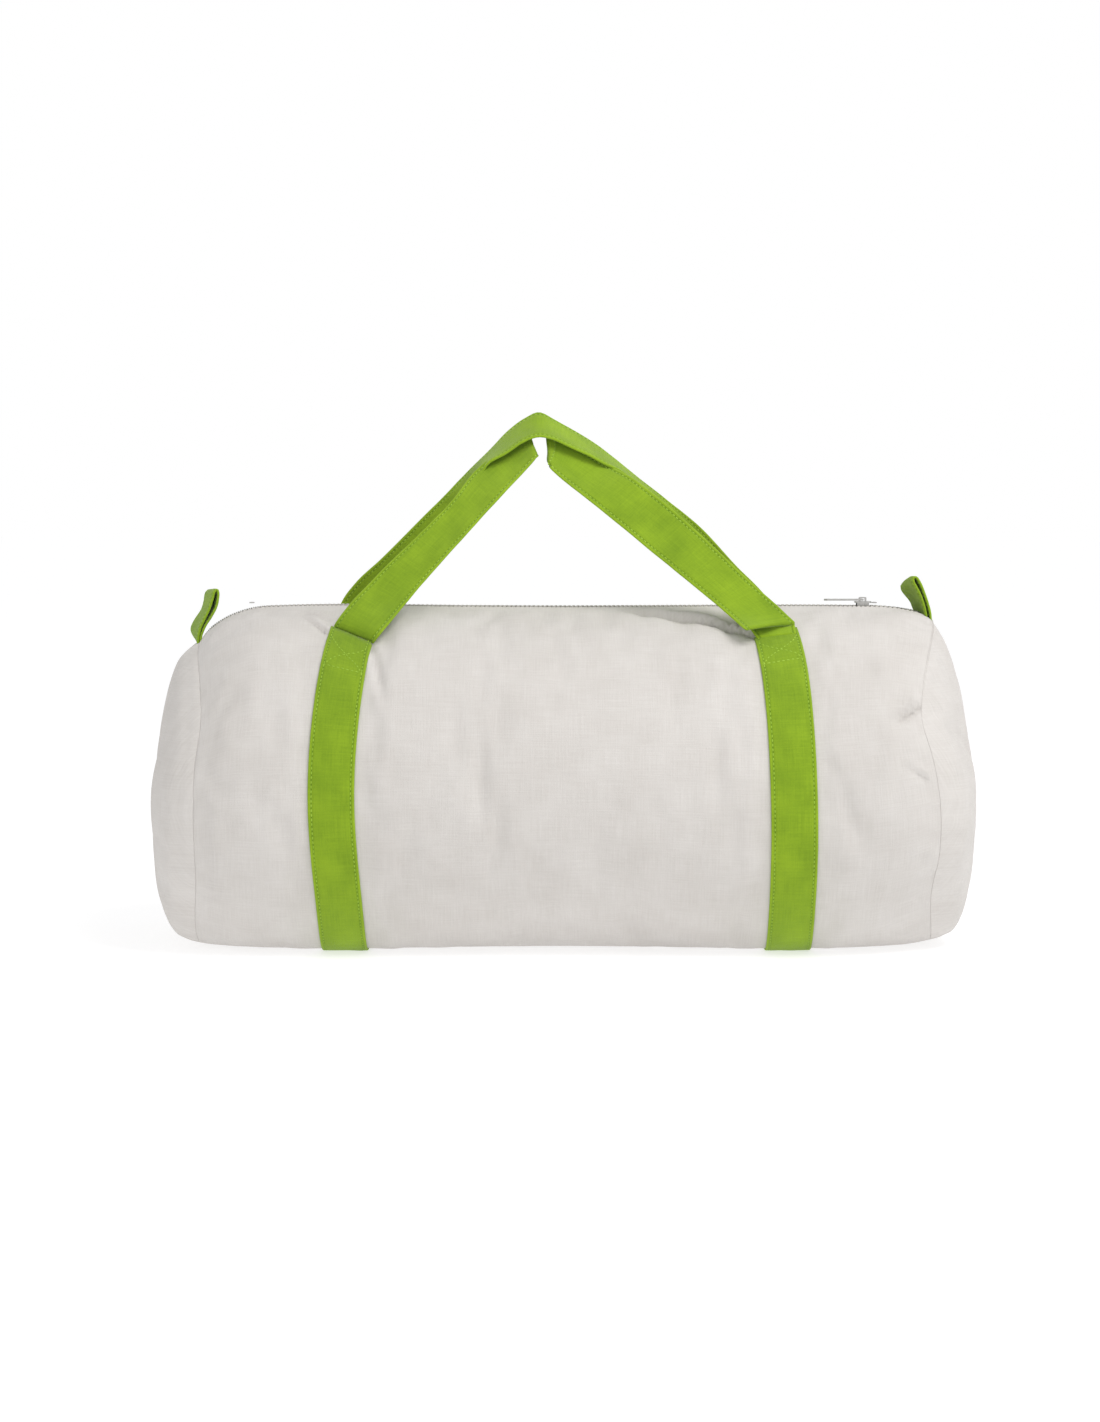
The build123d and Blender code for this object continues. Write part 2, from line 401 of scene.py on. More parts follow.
class Bench:
    """The node tree of one new material."""

    def __init__(self, name: str) -> None:
        """Starts an empty material."""
        self.material = bpy.data.materials.new(name)
        self.material.use_nodes = True
        self.tree = self.material.node_tree
        self.tree.nodes.clear()

    def add(self, kind: str, settings: dict | None = None, values: dict | None = None) -> bpy.types.Node:
        """Adds a node to the material."""
        return add_node(self.tree, kind, settings, values)

    def num(self, socket: bpy.types.NodeSocket) -> Num:
        """Wraps a number socket."""
        return Num(self.tree, socket)

    def cloth_place(self) -> tuple[bpy.types.NodeSocket, Num, Num]:
        """The piece's cloth coordinates in metres: the vector, and its two parts."""
        place = self.add("ShaderNodeUVMap", {"uv_map": "cloth"}).outputs["UV"]
        parts = self.add("ShaderNodeSeparateXYZ", values={"Vector": place})
        return place, self.num(parts.outputs["X"]), self.num(parts.outputs["Y"])

    def object_place(self) -> bpy.types.NodeSocket:
        """Object coordinates, in metres."""
        return self.add("ShaderNodeTexCoord").outputs["Object"]

    def noise(self, place: bpy.types.NodeSocket, scale: tuple[float, float, float], detail: float) -> Num:
        """Noise with its own scale on each axis, from about -0.5 to 0.5.

        Args:
            place: coordinates in metres.
            scale: cycles in a metre on each axis.
            detail: layers of finer noise.

        Returns:
            The noise.
        """
        sized = self.add("ShaderNodeVectorMath", {"operation": "MULTIPLY"}, {0: place, 1: scale})
        inputs = {"Vector": sized.outputs[0], "Scale": 1.0, "Detail": detail}
        made = self.add("ShaderNodeTexNoise", values=inputs)
        return self.num(made.outputs[0]) - 0.5

    def tint(self, share: Num, dark: Colour, pale: Colour) -> bpy.types.NodeSocket:
        """A colour between dark at 0 and pale at 1."""
        mixed = self.add(
            "ShaderNodeMix",
            {"data_type": "RGBA", "clamp_factor": True},
            {"Factor": share, 6: (*dark, 1), 7: (*pale, 1)},
        )
        return mixed.outputs[2]

    def bump(self, height: Num, depth: float, strength: float) -> bpy.types.NodeSocket:
        """A normal from a height of about 0 to 1 that stands depth metres high."""
        inputs = {"Height": height, "Distance": depth, "Strength": strength}
        return self.add("ShaderNodeBump", values=inputs).outputs[0]

    def surface(self, values: dict) -> bpy.types.Material:
        """Ends the material with a Principled shader.

        Args:
            values: the shader's sockets.

        Returns:
            The finished material.
        """
        shader = self.add("ShaderNodeBsdfPrincipled", values=values)
        self.add("ShaderNodeOutputMaterial", values={"Surface": shader.outputs[0]})
        return self.material


@dataclass(frozen=True)
class Cotton:
    """Plain-woven cotton: round threads, slubs, soft mottling and, on straps, a painted highlight along each
    edge and painted shade along each stitch line.
    """

    name: str
    dark: Colour
    pale: Colour
    thread: float = 0.3 * MM
    slub: float = 0.65
    mottle: float = 0.85
    relief: float = 0.2 * MM
    rough: float = 0.86
    sheen: float = 0.12
    strap_width: float = 0.0
    edge_highlight_in: float = 0.5 * MM
    edge_highlight_reach: float = 1.1 * MM
    stitch_in: float = 2.4 * MM
    stitch_reach: float = 0.7 * MM

    def material(self) -> bpy.types.Material:
        """Builds the material.

        Returns:
            A Principled material that reads the piece's cloth coordinates.
        """
        bench = Bench(self.name)
        place, across, along = bench.cloth_place()
        warp = (across * (math.pi / self.thread)).sine()
        weft = (along * (math.pi / self.thread)).sine()
        weave = 0.5 + 0.5 * warp * weft
        long_slubs = bench.noise(place, (1400.0, 46.0, 1.0), 1.0)
        cross_slubs = bench.noise(place, (46.0, 1400.0, 1.0), 1.0)
        slubs = long_slubs + cross_slubs
        cloud = bench.noise(place, (34.0, 34.0, 1.0), 3.0) + 0.6 * bench.noise(place, (9.0, 6.0, 1.0), 2.0)
        fuzz = bench.noise(place, (700.0, 700.0, 1.0), 2.0)
        share = 0.5 + self.mottle * cloud + self.slub * slubs + 0.12 * (weave - 0.5) + 0.3 * fuzz
        height = 0.55 * weave + 0.9 * self.slub * slubs + 0.5 * fuzz
        if self.strap_width:
            half = self.strap_width / 2
            from_middle = abs(across - half)
            # painted highlight: the strap's colour is made paler along each edge, where its rounded fold
            # catches the light
            hem = from_middle.near(half - self.edge_highlight_in, self.edge_highlight_reach)
            # stitch-line mask: darkens the colour in the stitch groove as painted shade, and also sinks the
            # bump height
            stitch_line = from_middle.near(half - self.stitch_in, self.stitch_reach)
            # paler at the edges is painted highlight; darker along the stitch lines is painted shade
            share = share + 0.25 * hem - 0.55 * stitch_line
            height = height - 0.8 * stitch_line
        rough = self.rough + 0.08 * (fuzz + cloud)
        return bench.surface(
            {
                "Base Color": bench.tint(share, self.dark, self.pale),
                "Roughness": rough,
                "Normal": bench.bump(height, self.relief, 0.8),
                "Sheen Weight": self.sheen,
                "Sheen Roughness": 0.45,
                "Specular IOR Level": 0.25,
            }
        )


@dataclass(frozen=True)
class Thread:
    """Twisted sewing thread."""

    name: str
    dark: Colour
    pale: Colour

    def material(self) -> bpy.types.Material:
        """Builds the material on Object coordinates."""
        bench = Bench(self.name)
        place = bench.object_place()
        twist = bench.noise(place, (2600.0, 2600.0, 2600.0), 1.0)
        cloud = bench.noise(place, (60.0, 60.0, 60.0), 1.0)
        return bench.surface(
            {
                "Base Color": bench.tint(0.5 + twist + cloud, self.dark, self.pale),
                "Roughness": 0.6 + 0.3 * twist,
                "Normal": bench.bump(twist, 0.1 * MM, 0.6),
                "Specular IOR Level": 0.35,
            }
        )


@dataclass(frozen=True)
class Coil:
    """Nylon zip coil, satin, with random dusty mottling; its grey colours, darker than the off-white nylon,
    are painted shade.
    """

    name: str = "nylon_coil"
    # grey dark and pale colours: painted shade on the off-white coil turns
    dark: Colour = (0.2, 0.19, 0.175)
    pale: Colour = (0.36, 0.345, 0.32)

    def material(self) -> bpy.types.Material:
        """Builds the material on Object coordinates."""
        bench = Bench(self.name)
        place = bench.object_place()
        dust = bench.noise(place, (420.0, 420.0, 420.0), 3.0)
        return bench.surface(
            {
                "Base Color": bench.tint(0.5 + 1.2 * dust, self.dark, self.pale),
                "Roughness": 0.42 + 0.3 * dust,
                "Normal": bench.bump(dust, 0.05 * MM, 0.4),
                "Specular IOR Level": 0.45,
            }
        )


@dataclass(frozen=True)
class Nickel:
    """Nickel-plated zinc with fine scratches."""

    name: str = "nickel_plate"
    dark: Colour = (0.36, 0.355, 0.34)
    pale: Colour = (0.6, 0.59, 0.57)

    def material(self) -> bpy.types.Material:
        """Builds the material on Object coordinates."""
        bench = Bench(self.name)
        place = bench.object_place()
        scratch = bench.noise(place, (260.0, 5200.0, 2600.0), 2.0)
        cloud = bench.noise(place, (300.0, 300.0, 300.0), 3.0)
        return bench.surface(
            {
                "Base Color": bench.tint(0.5 + cloud, self.dark, self.pale),
                "Metallic": 1.0,
                "Roughness": 0.28 + 0.25 * cloud + 0.2 * scratch,
                "Normal": bench.bump(scratch, 0.02 * MM, 0.5),
            }
        )


@dataclass(frozen=True)
class StudioPaper:
    """Matt white paper for the floor, lit from below so that it stays pale."""

    name: str = "studio_paper"
    dark: Colour = (0.5, 0.5, 0.505)
    pale: Colour = (0.51, 0.51, 0.515)
    glow: float = 0.64

    def material(self) -> bpy.types.Material:
        """Builds the material."""
        bench = Bench(self.name)
        grain = bench.noise(bench.object_place(), (60.0, 60.0, 60.0), 2.0)
        return bench.surface(
            {
                "Base Color": bench.tint(0.5 + grain, self.dark, self.pale),
                "Roughness": 0.9,
                "Specular IOR Level": 0.0,
                "Emission Color": (1, 1, 1, 1),
                "Emission Strength": self.glow,
            }
        )


class Finishes:
    """Every material of the bag, made once."""

    def __init__(self) -> None:
        """Makes the materials."""
        raw = (0.5, 0.48, 0.45)
        self.cotton = Cotton("natural_cotton_weave", (0.56, 0.53, 0.5), (0.68, 0.655, 0.63)).material()
        self.lime = Cotton(
            "lime_cotton_weave",
            (0.13, 0.235, 0.006),
            (0.3, 0.46, 0.018),
            slub=0.4,
            mottle=1.1,
            sheen=0.15,
            strap_width=StrapSection.width,
        ).material()
        self.tape = Cotton("zip_tape_weave", raw, (0.62, 0.6, 0.57), thread=0.6 * MM).material()
        self.binding = Cotton("binding_weave", raw, (0.66, 0.63, 0.6), thread=0.7 * MM).material()
        self.lime_thread = Thread("lime_thread", (0.22, 0.38, 0.02), (0.42, 0.62, 0.07)).material()
        self.pale_thread = Thread("natural_thread", (0.5, 0.47, 0.43), (0.72, 0.69, 0.65)).material()
        self.coil = Coil().material()
        self.nickel = Nickel().material()


# ---------------------------------------------------------------- repeats along a line


class BeadRun:
    """Geometry Nodes tree that sets rounded beads along lines: stitches, and the turns of a zip coil."""

    SIZES = ("Pitch", "Along", "Across", "Rise", "Wander")

    def __init__(self, name: str = "bead_run") -> None:
        """Builds the tree."""
        self.tree = bpy.data.node_groups.new(name, "GeometryNodeTree")
        self.inputs: dict[str, str] = {}
        self._socket("Geometry", "NodeSocketGeometry")
        for size in self.SIZES:
            self._socket(size, "NodeSocketFloat")
        self._socket("Seed", "NodeSocketInt")
        self._socket("Finish", "NodeSocketMaterial")
        self.tree.interface.new_socket("Geometry", in_out="OUTPUT", socket_type="NodeSocketGeometry")
        self._build()

    def _socket(self, name: str, kind: str) -> None:
        """Adds a named input to the tree."""
        made = self.tree.interface.new_socket(name, in_out="INPUT", socket_type=kind)
        self.inputs[name] = made.identifier

    def _add(self, kind: str, settings: dict | None = None, links: dict | None = None) -> bpy.types.Node:
        """Adds a node to the tree."""
        return add_node(self.tree, kind, settings, links)

    def _build(self) -> None:
        """Lines to evenly spaced points, a bead on each, laid along the line and on its surface."""
        given = self._add("NodeGroupInput").outputs
        line = self._add("GeometryNodeMeshToCurve", links={"Mesh": given["Geometry"]})
        spacing = {"Curve": line.outputs[0], "Length": given["Pitch"]}
        spaced = self._add("GeometryNodeResampleCurve", {"mode": "LENGTH"}, spacing)
        tangent = self._add("GeometryNodeInputTangent")
        lift = self._add("GeometryNodeInputNamedAttribute", {"data_type": "FLOAT_VECTOR"}, {"Name": "lift"})
        align = "FunctionNodeAlignRotationToVector"
        up = self._add(align, {"axis": "Z"}, {"Vector": lift.outputs["Attribute"]})
        facing = {"Rotation": up.outputs[0], "Vector": tangent.outputs[0]}
        turned = self._add(align, {"axis": "X", "pivot_axis": "Z"}, facing)
        swing = {"Min": -1.0, "Max": 1.0, "Seed": given["Seed"]}
        sway = self._add("FunctionNodeRandomValue", {"data_type": "FLOAT"}, swing)
        share = {0: sway.outputs[1], 1: given["Wander"]}
        angle = self._add("ShaderNodeMath", {"operation": "MULTIPLY"}, share)
        axis_turn = self._add("ShaderNodeCombineXYZ", links={"Z": angle.outputs[0]})
        swayed = self._add(
            "FunctionNodeRotateRotation",
            {"rotation_space": "LOCAL"},
            {0: turned.outputs[0], 1: axis_turn.outputs[0]},
        )
        bead = self._add("GeometryNodeMeshUVSphere", links={"Segments": 8, "Rings": 5, "Radius": 0.5})
        size = self._add(
            "ShaderNodeCombineXYZ", links={"X": given["Along"], "Y": given["Across"], "Z": given["Rise"]}
        )
        set_out = self._add(
            "GeometryNodeInstanceOnPoints",
            links={
                "Points": spaced.outputs[0],
                "Instance": bead.outputs["Mesh"],
                "Rotation": swayed.outputs[0],
                "Scale": size.outputs[0],
            },
        )
        real = self._add("GeometryNodeRealizeInstances", links={"Geometry": set_out.outputs[0]})
        smooth = self._add("GeometryNodeSetShadeSmooth", links={"Geometry": real.outputs[0]})
        dressed = self._add(
            "GeometryNodeSetMaterial", links={"Geometry": smooth.outputs[0], "Material": given["Finish"]}
        )
        self._add("NodeGroupOutput", links={0: dressed.outputs[0]})

    def lay(
        self,
        name: str,
        lines: Rows,
        sizes: tuple[float, float, float, float, float],
        finish: bpy.types.Material,
        seed: int,
    ) -> bpy.types.Object:
        """Lays beads along lines and keeps them as a plain mesh.

        Args:
            name: the piece's name.
            lines: (points, surface normals) of each line.
            sizes: pitch, along, across, rise and wander, in the order of SIZES.
            finish: the beads' material.
            seed: the wander's fixed seed.

        Returns:
            The beads as one object.
        """
        points = np.concatenate([p for p, _ in lines])
        lifts = np.concatenate([n for _, n in lines])
        edges, first = [], 0
        for line, _ in lines:
            edges += [(first + k, first + k + 1) for k in range(len(line) - 1)]
            first += len(line)
        mesh = bpy.data.meshes.new(name)
        mesh.from_pydata(points.tolist(), edges, [])
        lift = mesh.attributes.new("lift", "FLOAT_VECTOR", "POINT")
        lift.data.foreach_set("vector", lifts.astype(np.float32).ravel())
        run = bpy.data.objects.new(name, mesh)
        bpy.context.scene.collection.objects.link(run)
        beads = run.modifiers.new("beads", "NODES")
        beads.node_group = self.tree
        for key, value in zip(self.SIZES, sizes):
            beads[self.inputs[key]] = float(value)
        beads[self.inputs["Seed"]] = seed
        beads[self.inputs["Finish"]] = finish
        return freeze(run)


@dataclass(frozen=True)
class Stitching:
    """Sizes of a row of machine stitches."""

    pitch: float = 3.0 * MM
    length: float = 2.2 * MM
    width: float = 0.8 * MM
    rise: float = 0.9 * MM
    wander: float = 0.09

    def sizes(self) -> tuple[float, float, float, float, float]:
        """The sizes in BeadRun's order."""
        return self.pitch, self.length, self.width, self.rise, self.wander


# ---------------------------------------------------------------- the barrel's shape


@dataclass(frozen=True)
class Crease:
    """A fold in the barrel's cloth, from one (x in mm, angle in degrees) to another."""

    start: tuple[float, float]
    stop: tuple[float, float]
    depth: float
    width: float = 5.0
    shoulder: float = 0.35
    grip: float = 0.12
    fade: float = 0.6
    sharp: bool = False

    def press(self, x: np.ndarray, degrees: np.ndarray, radius: float) -> np.ndarray:
        """How far the cloth moves out at each place, in metres; below 0 is inwards."""
        round_mm = np.radians(degrees) * radius / MM
        place = np.stack([x / MM, round_mm], axis=-1)
        a = np.array([self.start[0], math.radians(self.start[1]) * radius / MM])
        b = np.array([self.stop[0], math.radians(self.stop[1]) * radius / MM])
        run = b - a
        t = ((place - a) @ run) / (run @ run)
        off = ((place - a) @ np.array([-run[1], run[0]])) / math.hypot(*run)
        lengthwise = smooth_step(-0.06, self.grip, t) * smooth_step(1.06, 1 - self.fade, t)
        width = self.width * (0.6 + 0.6 * np.clip(t, 0, 1))
        valley = -np.exp(-((off / width) ** 2))
        ridge = self.shoulder * np.exp(-(((off - 1.9 * width) / (1.2 * width)) ** 2))
        return self.depth * MM * lengthwise * (valley + ridge)


@dataclass
class BarrelShape:
    """The outer surface of the filled barrel and its two domed ends."""

    radius: float = 120 * MM
    axis_height: float = 106.2 * MM
    seam_half: float = 244 * MM
    base: float = 1.7 * MM
    base_softness: float = 14 * MM
    mouth_half: float = 11 * MM
    mouth_roll: float = 1.9 * MM
    top_line: Line = (
        (-244, 202.5), (-239, 209), (-229, 216.6), (-218, 221.6), (-206, 224.6), (-190, 225.3), (-60, 225.2),
        (0, 224.9), (60, 225.2), (190, 225.4), (214, 225.0), (230, 223.4), (240, 221.0), (244, 219.2),
    )
    base_line: Line = ((-244, 1.8), (-234, 1.7), (0, 1.7), (205, 1.7), (228, 2.4), (244, 4.0))
    drop_line: Line = ((-244, 8.0), (-222, 13.8), (0, 13.8), (215, 13.8), (244, 8.0))
    depth_line: Line = (
        (-244, 111), (-240, 113.2), (-230, 116.6), (-214, 119.2), (-198, 120), (0, 120),
        (198, 120), (214, 119.4), (230, 117), (240, 113.8), (244, 111.5),
    )
    axis_line: Line = ((-244, 101), (-225, 105), (-200, 106.2), (0, 106.2), (215, 106.2), (244, 110))
    left_seam: Line = (
        (-1.0, -238.5), (-0.97, -239.4), (-0.44, -236.9), (-0.09, -236.7), (0.23, -236), (0.56, -233.6),
        (0.85, -239), (1.0, -244.2),
    )
    right_seam: Line = (
        (-1.0, 244), (-0.93, 243.5), (-0.62, 238), (-0.35, 241.2), (-0.07, 240.4), (0.22, 235), (0.41, 229.5),
        (0.64, 232.5), (0.85, 240), (1.0, 247),
    )
    left_strap: Line = ((25, -136.5), (45, -141.5), (90, -148), (125, -144.5), (180, -142.5))
    right_strap: Line = ((25, 137.5), (40, 141), (90, 146.5), (125, 147.3), (180, 147.5))
    left_strap_back: float = -7.0
    right_strap_back: float = 3.5
    waves: tuple[tuple[float, float, float, float], ...] = ((0.55, 1.0, 38, 3.1), (0.35, 1.3, 13, 7.7))
    seam_pucker: float = 2.3 * MM
    seam_groove: float = 0.4 * MM
    gather: float = 1.0 * MM
    gather_reach: float = 3.5 * MM
    lip_out: float = 14.5 * MM
    lip_width: float = 3.2 * MM
    bulge: float = 31.8 * MM
    dome_out: float = 239 * MM
    left_middle: float = 98 * MM
    right_middle: float = 104 * MM
    low_root: float = 2.1
    left_root: float = 1.6
    right_root: float = 1.12
    dome_pucker: float = 2.2 * MM
    dome_slack: float = 1.5 * MM
    creases: tuple[Crease, ...] = (
        Crease((126, 32.5), (36, 10.8), 5.2, 2.8, 0.8, grip=0.04, fade=0.4, sharp=True),
        Crease((121, 38), (100, 47), 1.3, 5, 0.3),
        Crease((-155, 30.5), (-179, 16.5), 4.5, 2.6, 0.25, grip=0.02, fade=0.75, sharp=True),
        Crease((-152, 22.5), (-186, 13), 2.2, 2.5, 0.4, sharp=True),
        Crease((-125, 36.5), (-112, 66), 3.4, 2.6, 0.5, grip=0.05, fade=0.75, sharp=True),
        Crease((-160, 35), (-185, 43), 1.0, 7, 0.4),
        Crease((-157, 90), (-170, 128), 0.9, 6, 0.4),
        Crease((-130, 95), (-120, 160), 0.9, 5, 0.4),
        Crease((160, 60), (168, 118), 0.8, 6, 0.3),
        Crease((229, 59), (208, 68), 4.5, 2.6, 0.7, grip=0.15, fade=0.5, sharp=True),
        Crease((230, 70), (206, 96), 2.4, 4.5, 0.5),
        Crease((232, 84), (214, 80), 2.4, 2.4, 0.5, sharp=True),
        Crease((-232, 60), (-214, 52), 1.6, 5, 0.5),
        Crease((-233, 84), (-212, 92), 1.2, 6, 0.5),
        Crease((-12, 122), (26, 151), 1.1, 7, 0.6),
        Crease((38, 128), (60, 152), 0.8, 8, 0.5),
        Crease((-90, 130), (-60, 155), 0.8, 8, 0.4),
        Crease((150, 205), (120, 250), 1.2, 7, 0.4),
        Crease((-128, 322), (-70, 342), 2.6, 6, 0.3),
        Crease((128, 326), (180, 340), 2.2, 6, 0.3),
        Crease((-226, 300), (-200, 290), 2.4, 6, 0.5),
        Crease((230, 288), (204, 280), 2.2, 6, 0.5),
        Crease((-60, 240), (-20, 285), 1.0, 9, 0.4),
        Crease((60, 262), (95, 225), 1.0, 9, 0.4),
    )

    def read(self, line: Line, x: np.ndarray) -> np.ndarray:
        """Reads one of the shape's lines, set in millimetres, at x in metres."""
        return smooth_line(line, x / MM) * MM

    def inward(self, points: np.ndarray) -> np.ndarray:
        """Unit directions from points towards the barrel's axis."""
        return unit(np.array([0, 0, self.axis_height]) - points * np.array([0, 1, 1]))

    def seam_x(self, side: Side, degrees: np.ndarray) -> np.ndarray:
        """Where the end seam runs, which wanders in X as the cloth pulls on it."""
        height = np.cos(np.radians(degrees))
        line = self.left_seam if side is Side.LEFT else self.right_seam
        front = smooth_line(line, height) * MM
        middle = side.value * 240 * MM
        at_back = smooth_step(0.0, -0.5, np.sin(np.radians(degrees)))
        return front + at_back * 0.6 * (middle - front) * (1 - smooth_step(0.7, 1.0, height))

    def section(self, x: np.ndarray, degrees: np.ndarray) -> np.ndarray:
        """The smooth filled barrel, before its folds."""
        turn = np.radians(degrees)
        top, base = self.read(self.top_line, x), self.read(self.base_line, x)
        axis, depth = self.read(self.axis_line, x), self.read(self.depth_line, x)
        below = axis - base + self.read(self.drop_line, x)
        up = np.cos(turn)
        z = soft_floor(axis + np.where(up > 0, top - axis, below) * up, base, self.base_softness)
        z = z - 0.25 * self.base_softness * smooth_step(-0.6, -1, up)
        return np.stack([x, -depth * np.sin(turn), z], axis=-1)

    def strap_place(self, side: Side, degrees: np.ndarray) -> np.ndarray:
        """The X of a girth strap's middle line, alike on the front and the back."""
        left = side is Side.LEFT
        line = self.left_strap if left else self.right_strap
        back = self.left_strap_back if left else self.right_strap_back
        turned = np.mod(degrees, 360)
        shift = back * smooth_step(110, 40, 360 - turned) * (turned > 180)
        return (smooth_line(line, 180 - np.abs(180 - turned)) + shift) * MM

    def held(self, x: np.ndarray, degrees: np.ndarray) -> np.ndarray:
        """How far the cloth is held in place, 0 to 1: by the straps, the zip, the end seams and the floor."""
        up = np.cos(np.radians(degrees))
        from_zip = np.abs(self.radius * np.sin(np.radians(degrees)))
        zipped = smooth_step(30 * MM, 16 * MM, from_zip) * (up > 0)
        strapped = np.maximum(*[
            smooth_step(27 * MM, 16 * MM, np.abs(x - self.strap_place(side, degrees))) for side in Side
        ])
        grounded = smooth_step(-0.8, -0.92, up)
        return np.clip(np.maximum(np.maximum(zipped, 0.8 * strapped), grounded), 0, 1)

    def folds(self, x: np.ndarray, degrees: np.ndarray, surface: np.ndarray) -> np.ndarray:
        """How far the cloth stands out or in from the smooth barrel, in metres."""
        up = np.cos(np.radians(degrees))
        across = -self.radius * np.sin(np.radians(degrees))
        loose = 1 - self.held(x, degrees)
        out = np.zeros_like(loose)
        for depth, stretch, grain, seed in self.waves:
            out += depth * MM * ripple(surface * np.array([stretch, 0.5, 0.5]), grain * MM, seed) * loose
        free = np.maximum(loose, 0.6)
        for crease in self.creases:
            if not crease.sharp:
                out += crease.press(x, degrees, self.radius) * free
        lifted = 1 - 0.8 * smooth_step(-0.75, -0.95, up)
        end_on = surface * np.array([0.0, 1.0, 1.0])
        for side in Side:
            off = np.abs(x - self.seam_x(side, degrees))
            wave = ripple(end_on + side.value, 11 * MM, 1.9)
            coarse = ripple(end_on, 30 * MM, 5.3)
            pucker = self.seam_pucker * (wave + 0.7 * coarse - 0.1) * np.exp(-off / (12 * MM))
            out += pucker * lifted - self.seam_groove * np.exp(-((off / (4 * MM)) ** 2)) * lifted
        lip = np.exp(-(((np.abs(across) - self.lip_out) / self.lip_width) ** 2)) * (up > 0)
        along = smooth_step(-222 * MM, -190 * MM, x) * smooth_step(232 * MM, 214 * MM, x)
        return out + self.mouth_roll * lip * along

    def sharpen(self, piece: bpy.types.Object) -> None:
        """Presses the sharp creases into the divided body panel, whose mesh is fine enough to hold them."""
        places = np.array([vertex.co for vertex in piece.data.vertices])
        rise = places[:, 2] - self.axis_height
        degrees = np.mod(np.degrees(np.arctan2(-places[:, 1], rise)), 360)
        outward = unit(np.stack([np.zeros_like(rise), places[:, 1], rise], axis=-1))
        for crease in self.creases:
            if crease.sharp:
                places += outward * crease.press(places[:, 0], degrees, self.radius)[:, None]
        end_on = places * np.array([0.0, 1.0, 1.0])
        clear_of_floor = rise > -90 * MM
        for side in Side:
            off = np.abs(places[:, 0] - self.seam_x(side, degrees)) / self.gather_reach
            pull = ripple(end_on + side.value, 5.5 * MM, 3.3) + 0.7 * ripple(end_on, 12 * MM, 8.1)
            places += outward * (self.gather * pull * off * np.exp(1 - off) * clear_of_floor)[:, None]
        piece.data.vertices.foreach_set("co", places.ravel())
        piece.data.update()

    def point(self, x: np.ndarray, degrees: np.ndarray) -> np.ndarray:
        """Points of the finished outer surface.

        Args:
            x: nominal places along the barrel; +-seam_half is on the end seams.
            degrees: angles from the top towards the front.

        Returns:
            One point a place.
        """
        x, degrees = np.broadcast_arrays(np.asarray(x, float), np.asarray(degrees, float))
        smooth = self.section(x, degrees)
        placed = smooth + spokes(degrees) * self.folds(x, degrees, smooth)[..., None]
        for side in Side:
            share = smooth_step(0.62, 1.0, side.value * x / self.seam_half) * (side.value * x > 0)
            placed[..., 0] += share * (self.seam_x(side, degrees) - side.value * self.seam_half)
        return keep_above(placed, self.base - 0.1 * MM)

    def dome(self, side: Side, ring: np.ndarray, degrees: np.ndarray) -> np.ndarray:
        """Points of an end panel.

        Args:
            side: which end.
            ring: 1 on the seam, 0 at the middle.
            degrees: angles from the top towards the front.

        Returns:
            One point a place.
        """
        seam = self.point(np.full_like(degrees, side.value * self.seam_half), degrees)
        left = side is Side.LEFT
        height = self.left_middle if left else self.right_middle
        middle = np.array([side.value * self.dome_out, 0, height])
        up = np.cos(np.radians(degrees))
        power = 2.6 - 0.6 * up
        top_root = self.left_root if left else self.right_root
        root = self.low_root + (top_root - self.low_root) * smooth_step(-0.5, 0.9, up)
        swell = np.clip(1 - ring**power, 0, 1) ** (1 / root)
        flat = middle + (seam - middle) * ring[..., None]
        place = flat.copy()
        place[..., 0] = middle[0] + (seam[..., 0] - middle[0]) * ring**3
        wave = ripple(seam * np.array([0.0, 1.0, 1.0]) + 0.3, 15 * MM, 4.4)
        pucker = self.dome_pucker * wave * np.exp(-(1 - ring) * 100 / 17) * (1 - ring**12)
        cloth = self.dome_slack * ripple(flat, 45 * MM, 9.2) * (1 - ring**4)
        place[..., 0] += side.value * (self.bulge * swell + pucker + cloth)
        return keep_above(place, self.base)


@dataclass(frozen=True)
class Inflation:
    """A short cloth simulation that lets the filled bag swell and wrinkle between the places that hold it."""

    frames: int = 22
    pressure: float = 2.2
    slack: float = 0.03
    cap: float = 4 * MM
    mass: float = 0.25
    quality: int = 6
    stretch: float = 12
    shear: float = 4
    bend: float = 0.25
    damping: float = 2

    def settle(self, points: np.ndarray, faces: list, held: np.ndarray) -> np.ndarray:
        """Runs the simulation.

        Args:
            points: the cloth's places at the start.
            faces: its quads.
            held: 1 where a point is fixed, 0 where it is free.

        Returns:
            The settled places, none moved further than the cap.
        """
        piece = make_mesh("settling_cloth", points, faces)
        group = piece.vertex_groups.new(name="held")
        for index, weight in enumerate(held):
            if weight > 0.01:
                group.add([index], float(weight), "REPLACE")
        cloth = piece.modifiers.new("cloth", "CLOTH")
        settings = cloth.settings
        settings.quality = self.quality
        settings.mass = self.mass
        settings.tension_stiffness = settings.compression_stiffness = self.stretch
        settings.shear_stiffness = self.shear
        settings.bending_stiffness = self.bend
        settings.air_damping = self.damping
        settings.vertex_group_mass = "held"
        settings.shrink_min = -self.slack
        settings.use_pressure = True
        settings.uniform_pressure_force = self.pressure
        settings.effector_weights.gravity = 0
        cloth.collision_settings.use_collision = False
        cloth.point_cache.frame_start, cloth.point_cache.frame_end = 1, self.frames
        scene = bpy.context.scene
        for step in range(1, self.frames + 1):
            scene.frame_set(step)
        seen = piece.evaluated_get(bpy.context.evaluated_depsgraph_get())
        moved = np.zeros(len(points) * 3)
        seen.data.vertices.foreach_get("co", moved)
        scene.frame_set(1)
        bpy.data.objects.remove(piece)
        shift = (moved.reshape(-1, 3) - points) * (1 - held)[:, None]
        reach = np.linalg.norm(shift, axis=1, keepdims=True)
        return points + shift * self.cap * np.tanh(reach / self.cap) / np.maximum(reach, 1e-9)


# ---------------------------------------------------------------- the barrel's cloth


